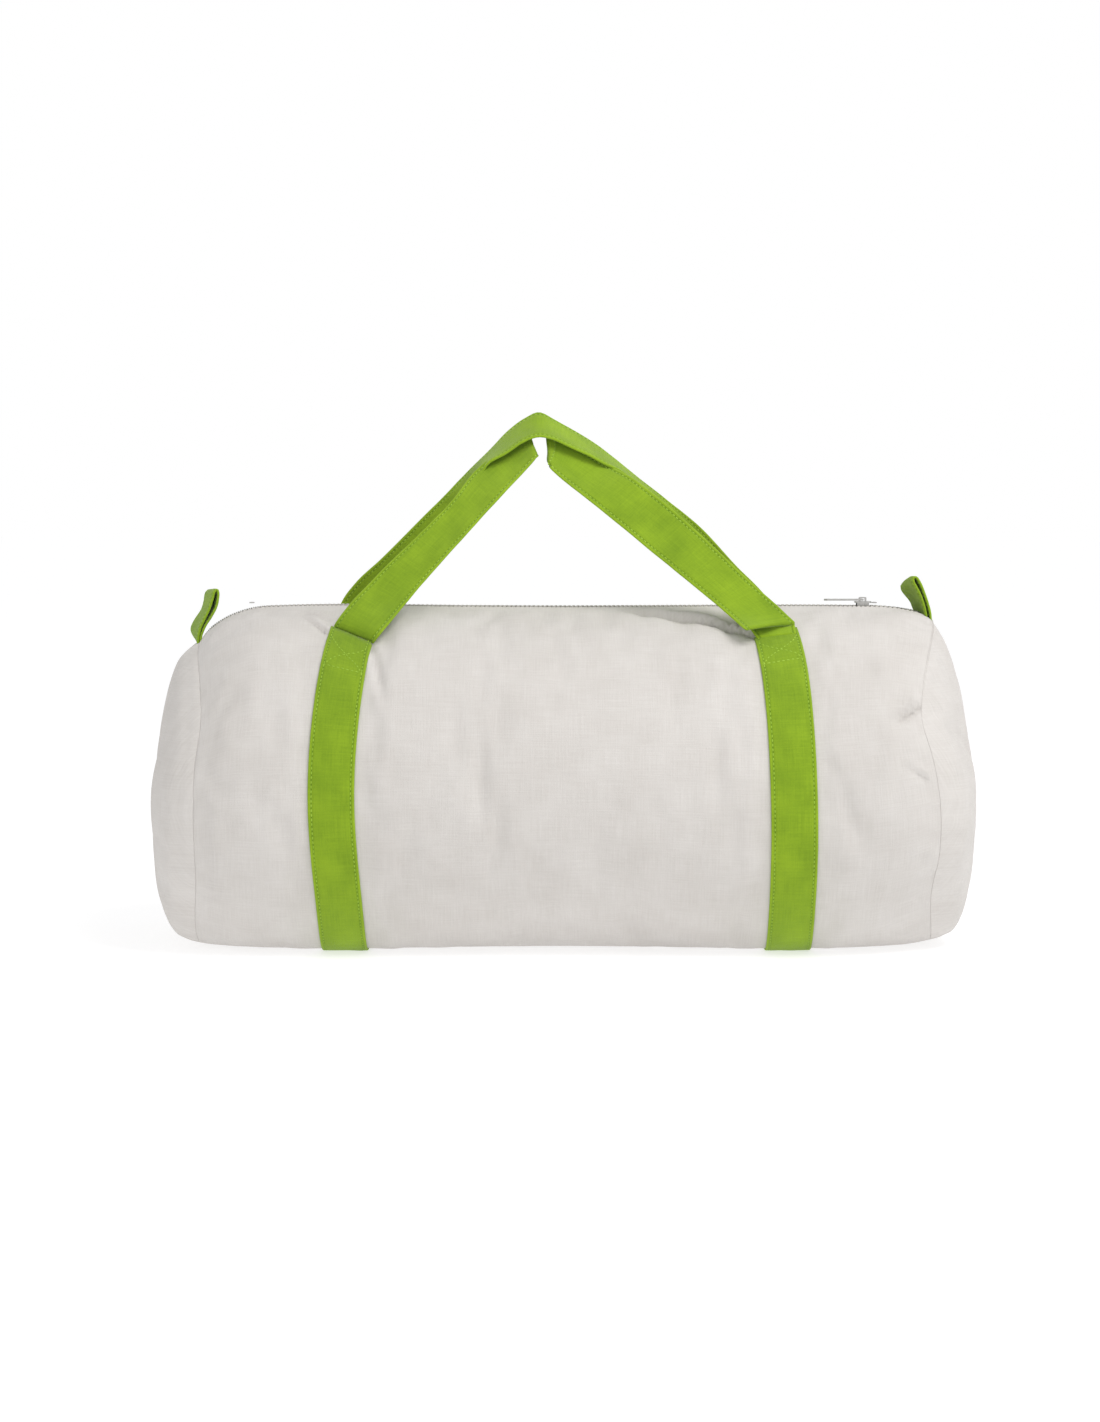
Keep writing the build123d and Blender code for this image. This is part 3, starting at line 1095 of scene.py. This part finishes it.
@dataclass
class BarrelCloth:
    """The body panel, the two end panels and the tape that binds their seams."""

    shape: BarrelShape
    finishes: Finishes
    cloth: float = 1.0 * MM
    columns: int = 92
    rows: int = 116
    rings: int = 30
    spokes: int = 128
    turn_in: float = 4 * MM
    hull: BVHTree | None = None

    def body_grid(self) -> tuple[np.ndarray, np.ndarray, np.ndarray]:
        """The body panel's outer face, its cloth coordinates and how far it is held."""
        half = self.shape.seam_half
        spread = np.linspace(-1, 1, self.columns + 1)
        x = half * (0.85 * spread + 0.15 * np.sin(spread * math.pi / 2))
        edge = math.degrees(math.asin(self.shape.mouth_half / self.shape.radius))
        degrees = np.linspace(edge, 360 - edge, self.rows + 1)
        xs, ds = np.meshgrid(x, degrees, indexing="ij")
        grid = self.shape.point(xs, ds)
        held = self.shape.held(xs, ds)
        off_seam = np.minimum(np.arange(len(x)), np.arange(len(x))[::-1])[:, None]
        held = np.maximum(held, smooth_step(3, 0, off_seam) * np.ones_like(held))
        uv = np.stack([xs, np.radians(ds) * self.shape.radius], axis=-1)
        return grid, uv, held

    def dome_grid(self, side: Side) -> tuple[np.ndarray, np.ndarray]:
        """An end panel's outer face, seam first, and how far it is held."""
        ring = 1 - np.linspace(0, 1, self.rings + 1) ** 1.25
        ring = ring[:-1]
        degrees = np.arange(self.spokes) * 360 / self.spokes
        rs, ds = np.meshgrid(ring, degrees, indexing="ij")
        held = smooth_step(0.93, 1.0, rs)
        return self.shape.dome(side, rs, ds), held

    def dome_mesh(self, side: Side, grid: np.ndarray) -> bpy.types.Object:
        """Makes an end panel from its grid of points.

        Args:
            side: which end.
            grid: rings of points, the seam first.

        Returns:
            The panel, divided once and thickened inwards.
        """
        middle = grid[-1].mean(axis=0)
        to_axis = self.shape.inward(grid[0])
        lip = grid[0] + self.turn_in * to_axis - side.value * np.array([0.4 * MM, 0, 0])
        keep_above(lip, self.shape.base)
        edge = grid[0] + 0.12 * (lip - grid[0])
        rows = np.concatenate([lip[None], edge[None], grid[:1], 0.88 * grid[:1] + 0.12 * grid[1:2], grid[1:]])
        count = rows.shape[0] * rows.shape[1]
        faces = grid_faces(rows.shape[0], rows.shape[1], closed=True, flip=side is Side.LEFT)
        first = count - rows.shape[1]
        for k in range(rows.shape[1]):
            fan = (first + k, first + (k + 1) % rows.shape[1], count)
            faces.append(fan[::-1] if side is Side.LEFT else fan)
        points = np.concatenate([rows.reshape(-1, 3), middle[None]])
        piece = make_mesh(f"{side.name.lower()}_end_cloth", points, faces, points[:, 1:])
        return thicken(divide(piece), self.cloth)

    def build(self) -> list[bpy.types.Object]:
        """Builds the panels, lets them settle, and makes the seam binding.

        Returns:
            The pieces, all on the bag.
        """
        body, uv, body_held = self.body_grid()
        domes = {side: self.dome_grid(side) for side in Side}
        body, domes = self.settled(body, body_held, domes)
        pieces = [self.body_mesh(body, uv)]
        for side, (grid, _) in domes.items():
            piece = self.dome_mesh(side, grid)
            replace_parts(piece, f"{side.name.lower()}_end_panel")
            pieces.append(piece)
        for piece in pieces:
            set_material(piece, self.finishes.cotton)
        for side in Side:
            pieces.append(self.binding(side))
        for piece in pieces:
            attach(piece, "bag")
            log.info("cloth: %s", piece.name)
        return pieces

    def settled(self, body: np.ndarray, body_held: np.ndarray, domes: dict) -> tuple[np.ndarray, dict]:
        """Runs the panels' simulation together.

        Args:
            body: the body panel's grid.
            body_held: how far each of its points is held.
            domes: grid and held shares of each end.

        Returns:
            The settled body grid and domes.
        """
        blocks = [(body, body_held, False, False)]
        blocks += [(domes[side][0], domes[side][1], True, side is Side.LEFT) for side in Side]
        points, faces, held, first = [], [], [], 0
        for grid, weight, closed, flip in blocks:
            faces += [
                tuple(first + k for k in quad)
                for quad in grid_faces(grid.shape[0], grid.shape[1], closed=closed, flip=flip)
            ]
            points.append(grid.reshape(-1, 3))
            held.append(weight.ravel())
            first += grid.shape[0] * grid.shape[1]
        done = Inflation().settle(np.concatenate(points), faces, np.concatenate(held))
        out, first = [], 0
        for grid, *_ in blocks:
            size = grid.shape[0] * grid.shape[1]
            moved = done[first : first + size].reshape(grid.shape)
            out.append(keep_above(moved, self.shape.base))
            first += size
        return out[0], {side: (out[1 + k], domes[side][1]) for k, side in enumerate(Side)}

    @staticmethod
    def crisp(rows: np.ndarray) -> list[np.ndarray]:
        """Adds a row close inside each end row, so that division leaves the seams' edges crisp."""
        near, far = 0.88, 0.12
        start, stop = near * rows[0] + far * rows[1], near * rows[-1] + far * rows[-2]
        return [rows[0], start, *rows[1:-1], stop, rows[-1]]

    def body_mesh(self, grid: np.ndarray, uv: np.ndarray) -> bpy.types.Object:
        """Makes the body panel: seam allowances turned in at its ends, hems under at the zip."""
        to_axis = self.shape.inward(grid)
        tucks = [0.5 * MM, self.turn_in]
        first = [grid[0] + depth * to_axis[0] for depth in tucks[::-1]]
        last = [grid[-1] + depth * to_axis[-1] for depth in tucks]
        first_uv = [uv[0] - [depth, 0] for depth in tucks[::-1]]
        last_uv = [uv[-1] + [depth, 0] for depth in tucks]
        grid = np.array([*first, *self.crisp(grid), *last])
        uv = np.array([*first_uv, *self.crisp(uv), *last_uv])
        keep_above(grid, self.shape.base)
        under = np.array([0, 0, -1.5 * MM])
        hem = 2.5 * MM
        front = grid[:, :1] + under + np.array([0, -hem, 0])
        back = grid[:, -1:] + under + np.array([0, hem, 0])
        grid = np.concatenate([front, grid, back], axis=1)
        uv = np.concatenate([uv[:, :1] - [0, hem], uv, uv[:, -1:] + [0, hem]], axis=1)
        piece = make_mesh("body_cloth", grid, grid_faces(*grid.shape[:2]), uv)
        piece = divide(piece)
        self.shape.sharpen(piece)
        outer = [tuple(vertex.co) for vertex in piece.data.vertices]
        self.hull = BVHTree.FromPolygons(outer, [tuple(face.vertices) for face in piece.data.polygons])
        thicken(piece, self.cloth)
        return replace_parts(piece, "body_panel")

    def rest(self, points: np.ndarray, outward: np.ndarray) -> np.ndarray:
        """Drops points onto the settled body panel.

        Args:
            points: places near the cloth.
            outward: unit directions away from it.

        Returns:
            The places on the cloth, or the given ones where there is none.
        """
        reach = 25 * MM
        found = points.copy()
        for index in np.ndindex(points.shape[:-1]):
            start = Vector(points[index] + reach * outward[index])
            hit = self.hull.ray_cast(start, Vector(-outward[index]), 2 * reach)[0]
            if hit is not None:
                found[index] = hit
        return found

    def binding(self, side: Side) -> bpy.types.Object:
        """Makes the tape that closes the raw edges inside an end seam."""
        degrees = np.linspace(0, 360, 145)
        seam = self.shape.point(np.full_like(degrees, side.value * self.shape.seam_half), degrees)
        depths = np.array([2.2, 4.0, 6.5, 9.0, 11.0]) * MM
        ring = seam[:, None] + self.shape.inward(seam)[:, None] * depths[None, :, None]
        keep_above(ring, self.shape.base + 1.2 * MM)
        uv = np.stack(np.meshgrid(depths, run_length(seam)), axis=-1)
        faces = grid_faces(*ring.shape[:2])
        piece = make_mesh(f"{side.name.lower()}_seam_tape", ring, faces, uv)
        wall = piece.modifiers.new("wall", "SOLIDIFY")
        wall.thickness, wall.offset = 1.6 * MM, 0
        freeze(piece)
        set_material(piece, self.finishes.binding)
        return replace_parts(piece, f"{side.name.lower()}_seam_binding")


# ---------------------------------------------------------------- straps and handles


@dataclass(frozen=True)
class Sewing:
    """What every strap is made with."""

    finishes: Finishes
    beads: BeadRun

    def strap(
        self, section: StrapSection, grid: np.ndarray, name: str, node: str, lines: Rows, seed: int
    ) -> list[bpy.types.Object]:
        """Makes a strap and its stitching.

        Args:
            section: the strap's section.
            grid: the strap's middle surface.
            name: the start of the two pieces' names.
            node: the CAD node that the strap stands for.
            lines: the stitches' lines.
            seed: the stitches' fixed seed.

        Returns:
            The strap and its stitches.
        """
        strap = section.band(f"{name}_cotton", grid)
        set_material(strap, self.finishes.lime)
        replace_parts(strap, node)
        thread = self.finishes.lime_thread
        stitches = self.beads.lay(f"{name}_stitches", lines, Stitching().sizes(), thread, seed)
        for piece in (strap, stitches):
            log.info("strap: %s", piece.name)
        return [strap, stitches]


@dataclass
class GirthStrap:
    """One strap sewn down the front, under the barrel and up the back."""

    side: Side
    shape: BarrelShape
    barrel: BarrelCloth
    section: StrapSection = StrapSection()
    steps: int = 150
    box_length: float = 34 * MM
    seed: int = 11

    def top_edge(self, face: Face) -> tuple[float, float]:
        """Angle of the strap's top edge at its middle, and how much it rises towards its outer side."""
        if face is Face.BACK:
            return (32.7, -2.5) if self.side is Side.LEFT else (31.3, -2.6)
        return (32.4, -4.6) if self.side is Side.LEFT else (30.0, -2.4)

    def grid(self) -> np.ndarray:
        """The strap's middle surface, laid on the cloth."""
        front_top, front_skew = self.top_edge(Face.FRONT)
        back_top, back_skew = self.top_edge(Face.BACK)
        degrees = np.linspace(front_top, 360 - back_top, self.steps + 1)
        across = (0.5 - self.section.places()) * self.section.width
        ds = degrees[:, None] * np.ones_like(across)
        toward_outer = across * self.side.value / (self.section.width / 2)
        at_front = smooth_step(front_top + 26, front_top, degrees)
        at_back = smooth_step(334 - back_top, 360 - back_top, degrees)
        ds = ds + toward_outer[None] * (front_skew * at_front - back_skew * at_back)[:, None]
        xs = self.shape.strap_place(self.side, ds) + across[None]
        radius = self.shape.radius
        lean = np.gradient(self.shape.strap_place(self.side, degrees), np.radians(degrees) * radius)
        squared = np.degrees(lean[:, None] * across[None] / radius)
        ds = ds - squared * (1 - at_front - at_back)[:, None]
        outward = spokes(ds)
        laid = self.barrel.rest(self.shape.point(xs, ds), outward)
        for _ in range(3):
            laid[1:-1] = 0.25 * laid[:-2] + 0.5 * laid[1:-1] + 0.25 * laid[2:]
        lifted = laid + outward * (0.5 * self.section.thickness + 0.1 * MM)
        shiver = 0.25 * MM * ripple(lifted, 9 * MM, 2.2 + self.side.value)
        lifted = lifted + outward * shiver[..., None]
        return keep_above(lifted, 0.5 * self.section.thickness)

    def build(self, sewing: Sewing) -> list[bpy.types.Object]:
        """Builds the strap and its stitching.

        Args:
            sewing: makes them.

        Returns:
            The pieces, all on the bag.
        """
        name = f"{self.side.name.lower()}_girth"
        grid = self.grid()
        rise, normals = self.section.raised(grid)
        lines = self.section.stitch_lines(grid, both_faces=False)
        lines += self.box_stitches(grid + rise, normals)
        pieces = sewing.strap(self.section, grid, name, f"{name}_strap", lines, self.seed)
        for piece in pieces:
            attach(piece, "bag")
        return pieces

    def box_stitches(self, top: np.ndarray, normals: np.ndarray) -> Rows:
        """The crossed box sewn under each handle foot, as lines on the strap's outer face."""
        along = run_length(top[:, top.shape[1] // 2])
        edge = self.section.stitch_column
        lines = []
        for from_end in (along, along[-1] - along):
            rows = np.argsort(from_end)[2 : int(np.sum(from_end < self.box_length))]
            share = np.linspace(0, 1, len(rows))
            across = np.round(edge + share * (top.shape[1] - 2 * edge - 1)).astype(int)
            level = np.arange(edge, top.shape[1] - edge)
            for row, column in ((rows, across), (rows, across[::-1]), (rows[-1], level)):
                lines.append((top[row, column], normals[row, column]))
        return lines


@dataclass(frozen=True)
class HandlePlane:
    """The leaning plane in which a handle's legs stand, given in millimetres."""

    foot_out: float
    lean: float
    foot_height: float = 209.4

    def place(self, x: float, z: float, back: float = 0.0) -> tuple[float, float, float]:
        """A point of the plane at x and z, moved towards the bag's middle by back."""
        sign = -1 if self.foot_out < 0 else 1
        y = self.foot_out - sign * (self.lean * (z - self.foot_height) + back)
        return x, y, z


Station = tuple[tuple[float, float, float], tuple[float, float, float]]


def ruled_band(stretches: list[list[Station]], places: np.ndarray, step: float) -> np.ndarray:
    """Passes a ruled strip through stations, smooth in each stretch and folded where two stretches meet.

    Args:
        stretches: runs of (outer, inner) edge points in millimetres; each starts where the last one stops.
        places: shares across the strip, 0 on the outer edge.
        step: distance between rows, in metres.

    Returns:
        The strip's grid, in metres.
    """
    grids = []
    for stretch in stretches:
        edges = np.array(stretch, float) * MM
        along = run_length(edges.mean(axis=1))
        count = max(3, int(round(along[-1] / step)) + 1)
        at = np.linspace(0, along[-1], count)
        outer, inner = (smooth_path(edges[:, e], along, at)[:, None] for e in range(2))
        strip = outer * (1 - places)[None, :, None] + inner * places[None, :, None]
        grids.append(strip if not grids else strip[1:])
    return np.concatenate(grids)


FRONT_PLANE = HandlePlane(-67.0, 0.4407)
BACK_PLANE = HandlePlane(67.0, 0.384)


def front_stations() -> list[list[Station]]:
    """The front handle's edges: left leg, the pinched turn under the peak, right leg and its pleat."""
    on = FRONT_PLANE.place
    left_leg = [
        ((-151.5, -62.2, 209.6), (-126.0, -77.4, 198.4)),
        ((-150.9, -55.0, 212.6), (-124.4, -67.5, 201.6)),
        (on(-149.4, 215.4, 6.0), on(-122.2, 204.6, -3.5)),
        (on(-146.0, 220.2, 4.0), on(-119.2, 208.6, -8.0)),
        (on(-140.5, 227.4, 3.0), on(-113.8, 215.4, -8.5)),
        (on(-129.5, 239.3, 3.0), on(-104.3, 226.8, -2.5)),
        (on(-118.5, 250.9, 3.0), on(-95.5, 237.8)),
        (on(-97.8, 271.2, 4.0), on(-78.0, 257.6)),
        (on(-73.8, 296.2, 6.0), on(-56.8, 281.7)),
        ((-54.0, -5.5, 320.6), on(-36.5, 304.1)),
        ((-38.0, 1.0, 331.6), on(-26.5, 315.0)),
        ((-22.2, 1.0, 341.2), on(-17.3, 324.9, -2.0)),
    ]
    turn = [
        left_leg[-1],
        ((-23.4, 3.0, 342.4), (-22.0, -11.5, 327.4)),
        ((-23.4, 6.5, 345.4), (-23.6, -4.0, 334.4)),
        ((-20.2, 9.5, 348.4), (-20.6, -1.0, 341.6)),
        ((-14.6, 9.5, 348.6), (-14.6, -1.5, 342.8)),
        ((-8.4, 7.0, 346.4), (-7.4, -1.5, 340.6)),
        ((-8.0, 3.0, 342.4), (-5.6, -9.5, 329.4)),
        ((-11.6, 0.0, 339.6), (-9.5, -19.6, 318.2)),
    ]
    right_leg = [
        turn[-1],
        ((4.5, -1.5, 333.4), on(-4.5, 313.2)),
        ((24.5, -5.0, 322.4), on(4.5, 305.9)),
        (on(43.8, 312.3, 4.0), on(21.0, 292.7)),
        (on(60.6, 299.6, 1.0), on(38.5, 278.5)),
        (on(80.0, 283.2), on(57.0, 262.9)),
        (on(103.2, 261.6), on(79.8, 244.3)),
        (on(126.4, 239.4, 1.0), on(101.5, 226.3, -1.0)),
        (on(142.6, 224.9, 4.0), on(111.5, 217.6, -6.0)),
        ((151.4, -55.6, 216.2), (117.2, -79.0, 212.2)),
    ]
    pleat = [right_leg[-1], ((151.6, -56.5, 214.2), (121.5, -59.5, 212.8))]
    tail = [pleat[-1], ((152.0, -63.4, 208.4), (126.0, -67.4, 206.0))]
    return [left_leg, turn, right_leg, pleat, tail]


def back_stations() -> list[list[Station]]:
    """The back handle's edges, from left foot to right foot; its peak lies over the front handle."""
    on = BACK_PLANE.place
    stations = [
        ((-160.0, 65.8, 206.6), (-131.5, 74.3, 200.7)),
        ((-159.3, 60.5, 211.0), (-130.3, 69.5, 205.2)),
        (on(-153.5, 226.0, 3.0), on(-127.3, 211.6, -1.0)),
        (on(-144.2, 238.5, 2.0), on(-119.5, 222.8)),
        (on(-125.7, 255.9, 1.0), (-103.6, 50.4, 235.7)),
        ((-89.7, 35.0, 291.1), (-69.3, 25.6, 271.5)),
        ((-71.0, 26.5, 309.0), (-58.6, 3.0, 296.0)),
        ((-56.4, 19.5, 323.3), (-52.5, -11.5, 318.2)),
        ((-36.0, 13.5, 343.0), (-37.5, -12.6, 327.6)),
        ((-25.6, 11.8, 351.0), (-26.5, -12.8, 334.2)),
        ((-16.2, 10.5, 355.4), (-16.8, -12.8, 337.8)),
        ((-6.4, 11.4, 351.0), (-7.4, -12.8, 336.6)),
        ((4.4, 12.4, 344.8), (4.5, -12.8, 331.4)),
        ((25.2, 15.0, 331.2), (24.6, -12.6, 322.2)),
        ((52.5, 20.0, 310.0), (44.5, -8.5, 310.6)),
        ((73.0, 29.5, 294.6), (57.0, 6.0, 287.5)),
        ((94.4, 38.8, 278.0), (71.7, 33.0, 259.6)),
        ((121.0, 49.8, 250.2), (99.9, 54.0, 231.0)),
        (on(141.6, 229.6, 2.0), on(121.5, 212.6, -1.0)),
        ((155.0, 59.5, 212.5), (128.5, 67.5, 206.8)),
        ((157.2, 64.8, 207.8), (129.3, 72.8, 202.1)),
    ]
    return [stations]


@dataclass
class Handle:
    """A carry handle: one length of strap from foot to foot."""

    face: Face
    section: StrapSection = StrapSection()
    step: float = 2.6 * MM
    seed: int = 23
    bend_low: tuple[float, float, float] = (0, 70.5 * MM, 202.5 * MM)
    bend_high: tuple[float, float, float] = (0, 63.2 * MM, 219.0 * MM)

    def grid(self) -> np.ndarray:
        """The strap's middle surface, with its small bends and slack."""
        stations = front_stations() if self.face is Face.FRONT else back_stations()
        grid = ruled_band(stations, self.section.places(), self.step)
        normals = grid_normals(grid)
        along = run_length(grid[:, grid.shape[1] // 2])
        free = smooth_step(0, 30 * MM, along) * smooth_step(along[-1], along[-1] - 30 * MM, along)
        slack = 0.9 * MM * ripple(grid, 34 * MM, 2.6) + 0.35 * MM * ripple(grid, 12 * MM, 8.8)
        cup = -0.5 * MM * np.cos((self.section.places() - 0.5) * math.pi)
        return grid + normals * (free[:, None] * (slack + cup[None]))[..., None]

    def build(self, sewing: Sewing) -> list[bpy.types.Object]:
        """Builds the handle and its stitching.

        Args:
            sewing: makes them.

        Returns:
            The pieces, their placement baked into their meshes.
        """
        name = f"{self.face.name.lower()}_handle"
        grid = self.grid()
        lines = self.section.stitch_lines(grid, slice(4, -4))
        pieces = sewing.strap(self.section, grid, name, name, lines, self.seed)
        for piece in pieces:
            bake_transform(piece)
        return pieces


@dataclass(frozen=True)
class TabPath:
    """How an end tab hangs, in millimetres."""

    loop: Line
    shift: float
    drop: float
    root: float


TAB_PATHS = {
    Side.LEFT: TabPath(
        (
            (-244.6, 198.0), (-244.4, 204.0), (-242.8, 210.5), (-239.8, 217.0), (-236.4, 223.5),
            (-234.4, 230.0), (-232.8, 235.4), (-231.4, 236.6), (-230.6, 234.8), (-230.9, 230.0),
            (-232.2, 225.0), (-235.4, 218.4), (-240.2, 210.4), (-242.4, 204.5), (-243.0, 198.0),
        ),
        shift=9.5,
        drop=1.5,
        root=200,
    ),
    Side.RIGHT: TabPath(
        (
            (243.6, 214.0), (243.2, 220.0), (242.2, 225.0), (239.6, 231.5), (236.6, 238.0), (234.6, 242.6),
            (234.6, 244.4), (236.2, 244.8), (238.6, 242.0), (241.0, 237.6), (242.6, 233.0), (244.2, 227.0),
            (246.0, 220.5), (246.4, 214.0),
        ),
        shift=4.5,
        drop=6.0,
        root=214,
    ),
}


@dataclass
class EndTab:
    """A folded loop of strap caught in the end seam beside the zip."""

    side: Side
    section: StrapSection = StrapSection(thickness=1.5 * MM)
    rows: int = 56
    bend: float = 14 * MM
    seed: int = 31

    def grid(self) -> np.ndarray:
        """The loop's middle surface: its front edge, swept back and sideways, and dropped at the back."""
        path = TAB_PATHS[self.side]
        edge = np.array(path.loop)
        along = run_length(edge)
        front = smooth_path(edge, along, np.linspace(0, along[-1], self.rows))
        rise = front[:, 1] - edge[0, 1]
        free = smooth_step(0, 12, rise)
        places = self.section.places()
        across = (places - 0.5) * self.section.width / MM
        sweep = -(0.35 + 0.65 * free)[:, None] * path.shift * places[None]
        drop = path.drop * smooth_step(10, 28, rise)
        x = front[:, None, 0] + sweep
        z = front[:, None, 1] - drop[:, None] * places[None] ** 2
        grid = np.stack([x, np.broadcast_to(across[None], x.shape), z], axis=-1) * MM
        wave = 0.7 * MM * ripple(grid, 13 * MM, 6.1 + self.side.value) * free[:, None]
        return grid + grid_normals(grid) * wave[..., None]

    def build(self, sewing: Sewing) -> list[bpy.types.Object]:
        """Builds the tab and its stitching.

        Args:
            sewing: makes them.

        Returns:
            The pieces, their placement baked into their meshes.
        """
        side, path = self.side.name.lower(), TAB_PATHS[self.side]
        grid = self.grid()
        lines = self.section.stitch_lines(grid)
        pieces = sewing.strap(self.section, grid, f"{side}_tab", f"{side}_end_tab", lines, self.seed)
        for piece in pieces:
            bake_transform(piece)
        return pieces


# ---------------------------------------------------------------- the zip


@dataclass
class Zip:
    """The top zip: two cloth tapes, two rows of coil turns, metal stops, slider and pull."""

    shape: BarrelShape
    barrel: BarrelCloth
    sewing: Sewing
    reach: tuple[float, float] = (-241 * MM, 243 * MM)
    tape_edge: float = 20 * MM
    tape_drop: float = 1.5 * MM
    tape: float = 0.7 * MM
    coil_out: float = 1.55 * MM
    coil_pitch: float = 1.5 * MM
    coil_rise: float = 2.0 * MM
    stitch_line: float = 14.2 * MM
    stitch_reach: tuple[float, float] = (-232 * MM, 234 * MM)
    steps: int = 200
    coil_seed: int = 3
    stitch_seed: int = 41

    def run(self, across: np.ndarray, drop: float, start: float = 0.0) -> np.ndarray:
        """A grid over the top of the barrel: rows along the zip, one column for each place across it.

        Args:
            across: places in Y; below 0 is the front.
            drop: depth below the barrel's outer surface.
            start: shift of the first row along X.

        Returns:
            The grid of points.
        """
        x = np.linspace(self.reach[0] + start, self.reach[1], self.steps)
        degrees = np.degrees(np.arcsin(-across / self.shape.radius))
        grid = self.shape.section(*np.meshgrid(x, degrees, indexing="ij"))
        grid[..., 2] -= drop
        return grid

    def build(self) -> list[bpy.types.Object]:
        """Builds the zip.

        Returns:
            The pieces, all on the bag.
        """
        pieces, seams = [], []
        finishes, beads = self.sewing.finishes, self.sewing.beads
        for face in Face:
            name = face.name.lower()
            across = face.value * np.linspace(0.5 * MM, self.tape_edge, 9)
            grid = self.run(across, self.tape_drop)
            uv = np.stack(np.meshgrid(across, run_length(grid[:, 0])), axis=-1)
            faces = grid_faces(*grid.shape[:2], flip=face is Face.BACK)
            tape = make_mesh(f"{name}_zip_cloth", grid, faces, uv)
            set_material(thicken(tape, self.tape), finishes.tape)
            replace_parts(tape, f"{name}_zip_tape")
            start = 0.5 * self.coil_pitch if face is Face.BACK else 0.0
            drop = self.tape_drop - 0.45 * self.coil_rise
            line = self.run(np.array([face.value * self.coil_out]), drop, start)[:, 0]
            up = np.tile([0.0, 0.0, 1.0], (len(line), 1))
            sizes = Stitching(self.coil_pitch, 1.0 * MM, 3.5 * MM, self.coil_rise, 0.02).sizes()
            coil = beads.lay(f"{name}_coil_turns", [(line, up)], sizes, finishes.coil, self.coil_seed)
            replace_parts(coil, f"{name}_zip_coil")
            pieces += [tape, coil]
            x = np.linspace(*self.stitch_reach, 240)
            turn = -face.value * math.degrees(math.asin(self.stitch_line / self.shape.radius))
            degrees = np.full_like(x, turn)
            outward = spokes(degrees)
            seams.append((self.barrel.rest(self.shape.point(x, degrees), outward), outward))
        thread = finishes.pale_thread
        stitches = beads.lay("zip_stitches", seams, Stitching().sizes(), thread, self.stitch_seed)
        pieces.append(stitches)
        for piece in pieces:
            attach(piece, "bag")
            log.info("zip: %s", piece.name)
        for node in ("zip_bottom_stop", "zip_top_stops", "zip_slider", "zip_pull"):
            set_material(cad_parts[node], finishes.nickel)
            log.info("zip: CAD node %s in nickel", node)
        return pieces


# ---------------------------------------------------------------- studio


@dataclass
class Studio:
    """Pale floor, one soft light, white surroundings and the camera."""

    aim: tuple[float, float, float] = (-0.0088, 0.0, 0.154)
    distance: float = 1.9
    elevation: float = 4.0
    lens: float = 71.1
    key_place: Place = (0.7, -0.75, 1.5)
    key_size: float = 0.8
    key_power: float = 15
    key_colour: Colour = (1.0, 0.99, 0.975)
    horizon: float = 1.0
    ceiling: float = 0.68
    floor_half: float = 30.0

    def light(self) -> None:
        """Adds the square key light, which faces the bag."""
        lamp = bpy.data.lights.new("key_light", "AREA")
        lamp.size, lamp.energy, lamp.color = self.key_size, self.key_power, self.key_colour
        made = bpy.data.objects.new("key_light", lamp)
        made.location = self.key_place
        facing = Vector((0, 0, 0.12)) - Vector(self.key_place)
        made.rotation_euler = facing.to_track_quat("-Z", "Y").to_euler()
        bpy.context.scene.collection.objects.link(made)

    def sky(self, tree: bpy.types.NodeTree) -> None:
        """A white room: bright walls round the horizon, a dimmer ceiling.

        Args:
            tree: the world's node tree.
        """
        place = add_node(tree, "ShaderNodeTexCoord")
        parts = add_node(tree, "ShaderNodeSeparateXYZ", values={0: place.outputs["Generated"]})
        stops = {"From Min": 0.2, "From Max": 0.45, "To Min": self.horizon, "To Max": self.ceiling}
        inputs = {**stops, "Value": parts.outputs["Z"]}
        shade = add_node(tree, "ShaderNodeMapRange", {"interpolation_type": "SMOOTHSTEP"}, inputs)
        tree.links.new(shade.outputs[0], tree.nodes["Background"].inputs["Strength"])
        tree.nodes["Background"].inputs["Color"].default_value = (1, 1, 1, 1)

    def build(self) -> None:
        """Builds the studio."""
        scene = bpy.context.scene
        scene.view_settings.view_transform = "Standard"
        world = bpy.data.worlds.new("white_room")
        world.use_nodes = True
        self.sky(world.node_tree)
        scene.world = world
        self.light()
        sides = [-self.floor_half, self.floor_half]
        corners = np.stack([*np.meshgrid(sides, sides), np.zeros((2, 2))], axis=-1)
        floor = make_mesh("studio_floor", corners, grid_faces(2, 2, flip=True))
        set_material(floor, StudioPaper().material())
        camera = bpy.data.cameras.new("camera")
        camera.lens, camera.sensor_width = self.lens, 36.0
        made = bpy.data.objects.new("camera", camera)
        tilt = math.radians(self.elevation)
        aim = Vector(self.aim)
        made.location = aim + self.distance * Vector((0, -math.cos(tilt), math.sin(tilt)))
        made.rotation_euler = (aim - made.location).to_track_quat("-Z", "Y").to_euler()
        scene.collection.objects.link(made)
        scene.camera = made


def main() -> None:
    logging.basicConfig(level=logging.INFO, format="%(name)s %(message)s")
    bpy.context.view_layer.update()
    finishes = Finishes()
    sewing = Sewing(finishes, BeadRun())
    shape = BarrelShape()
    barrel = BarrelCloth(shape, finishes)
    barrel.build()
    for side in Side:
        GirthStrap(side, shape, barrel).build(sewing)
    for face in Face:
        Handle(face).build(sewing)
    for side in Side:
        EndTab(side).build(sewing)
    Zip(shape, barrel, sewing).build()
    Studio().build()


if __name__ == "__main__":
    main()
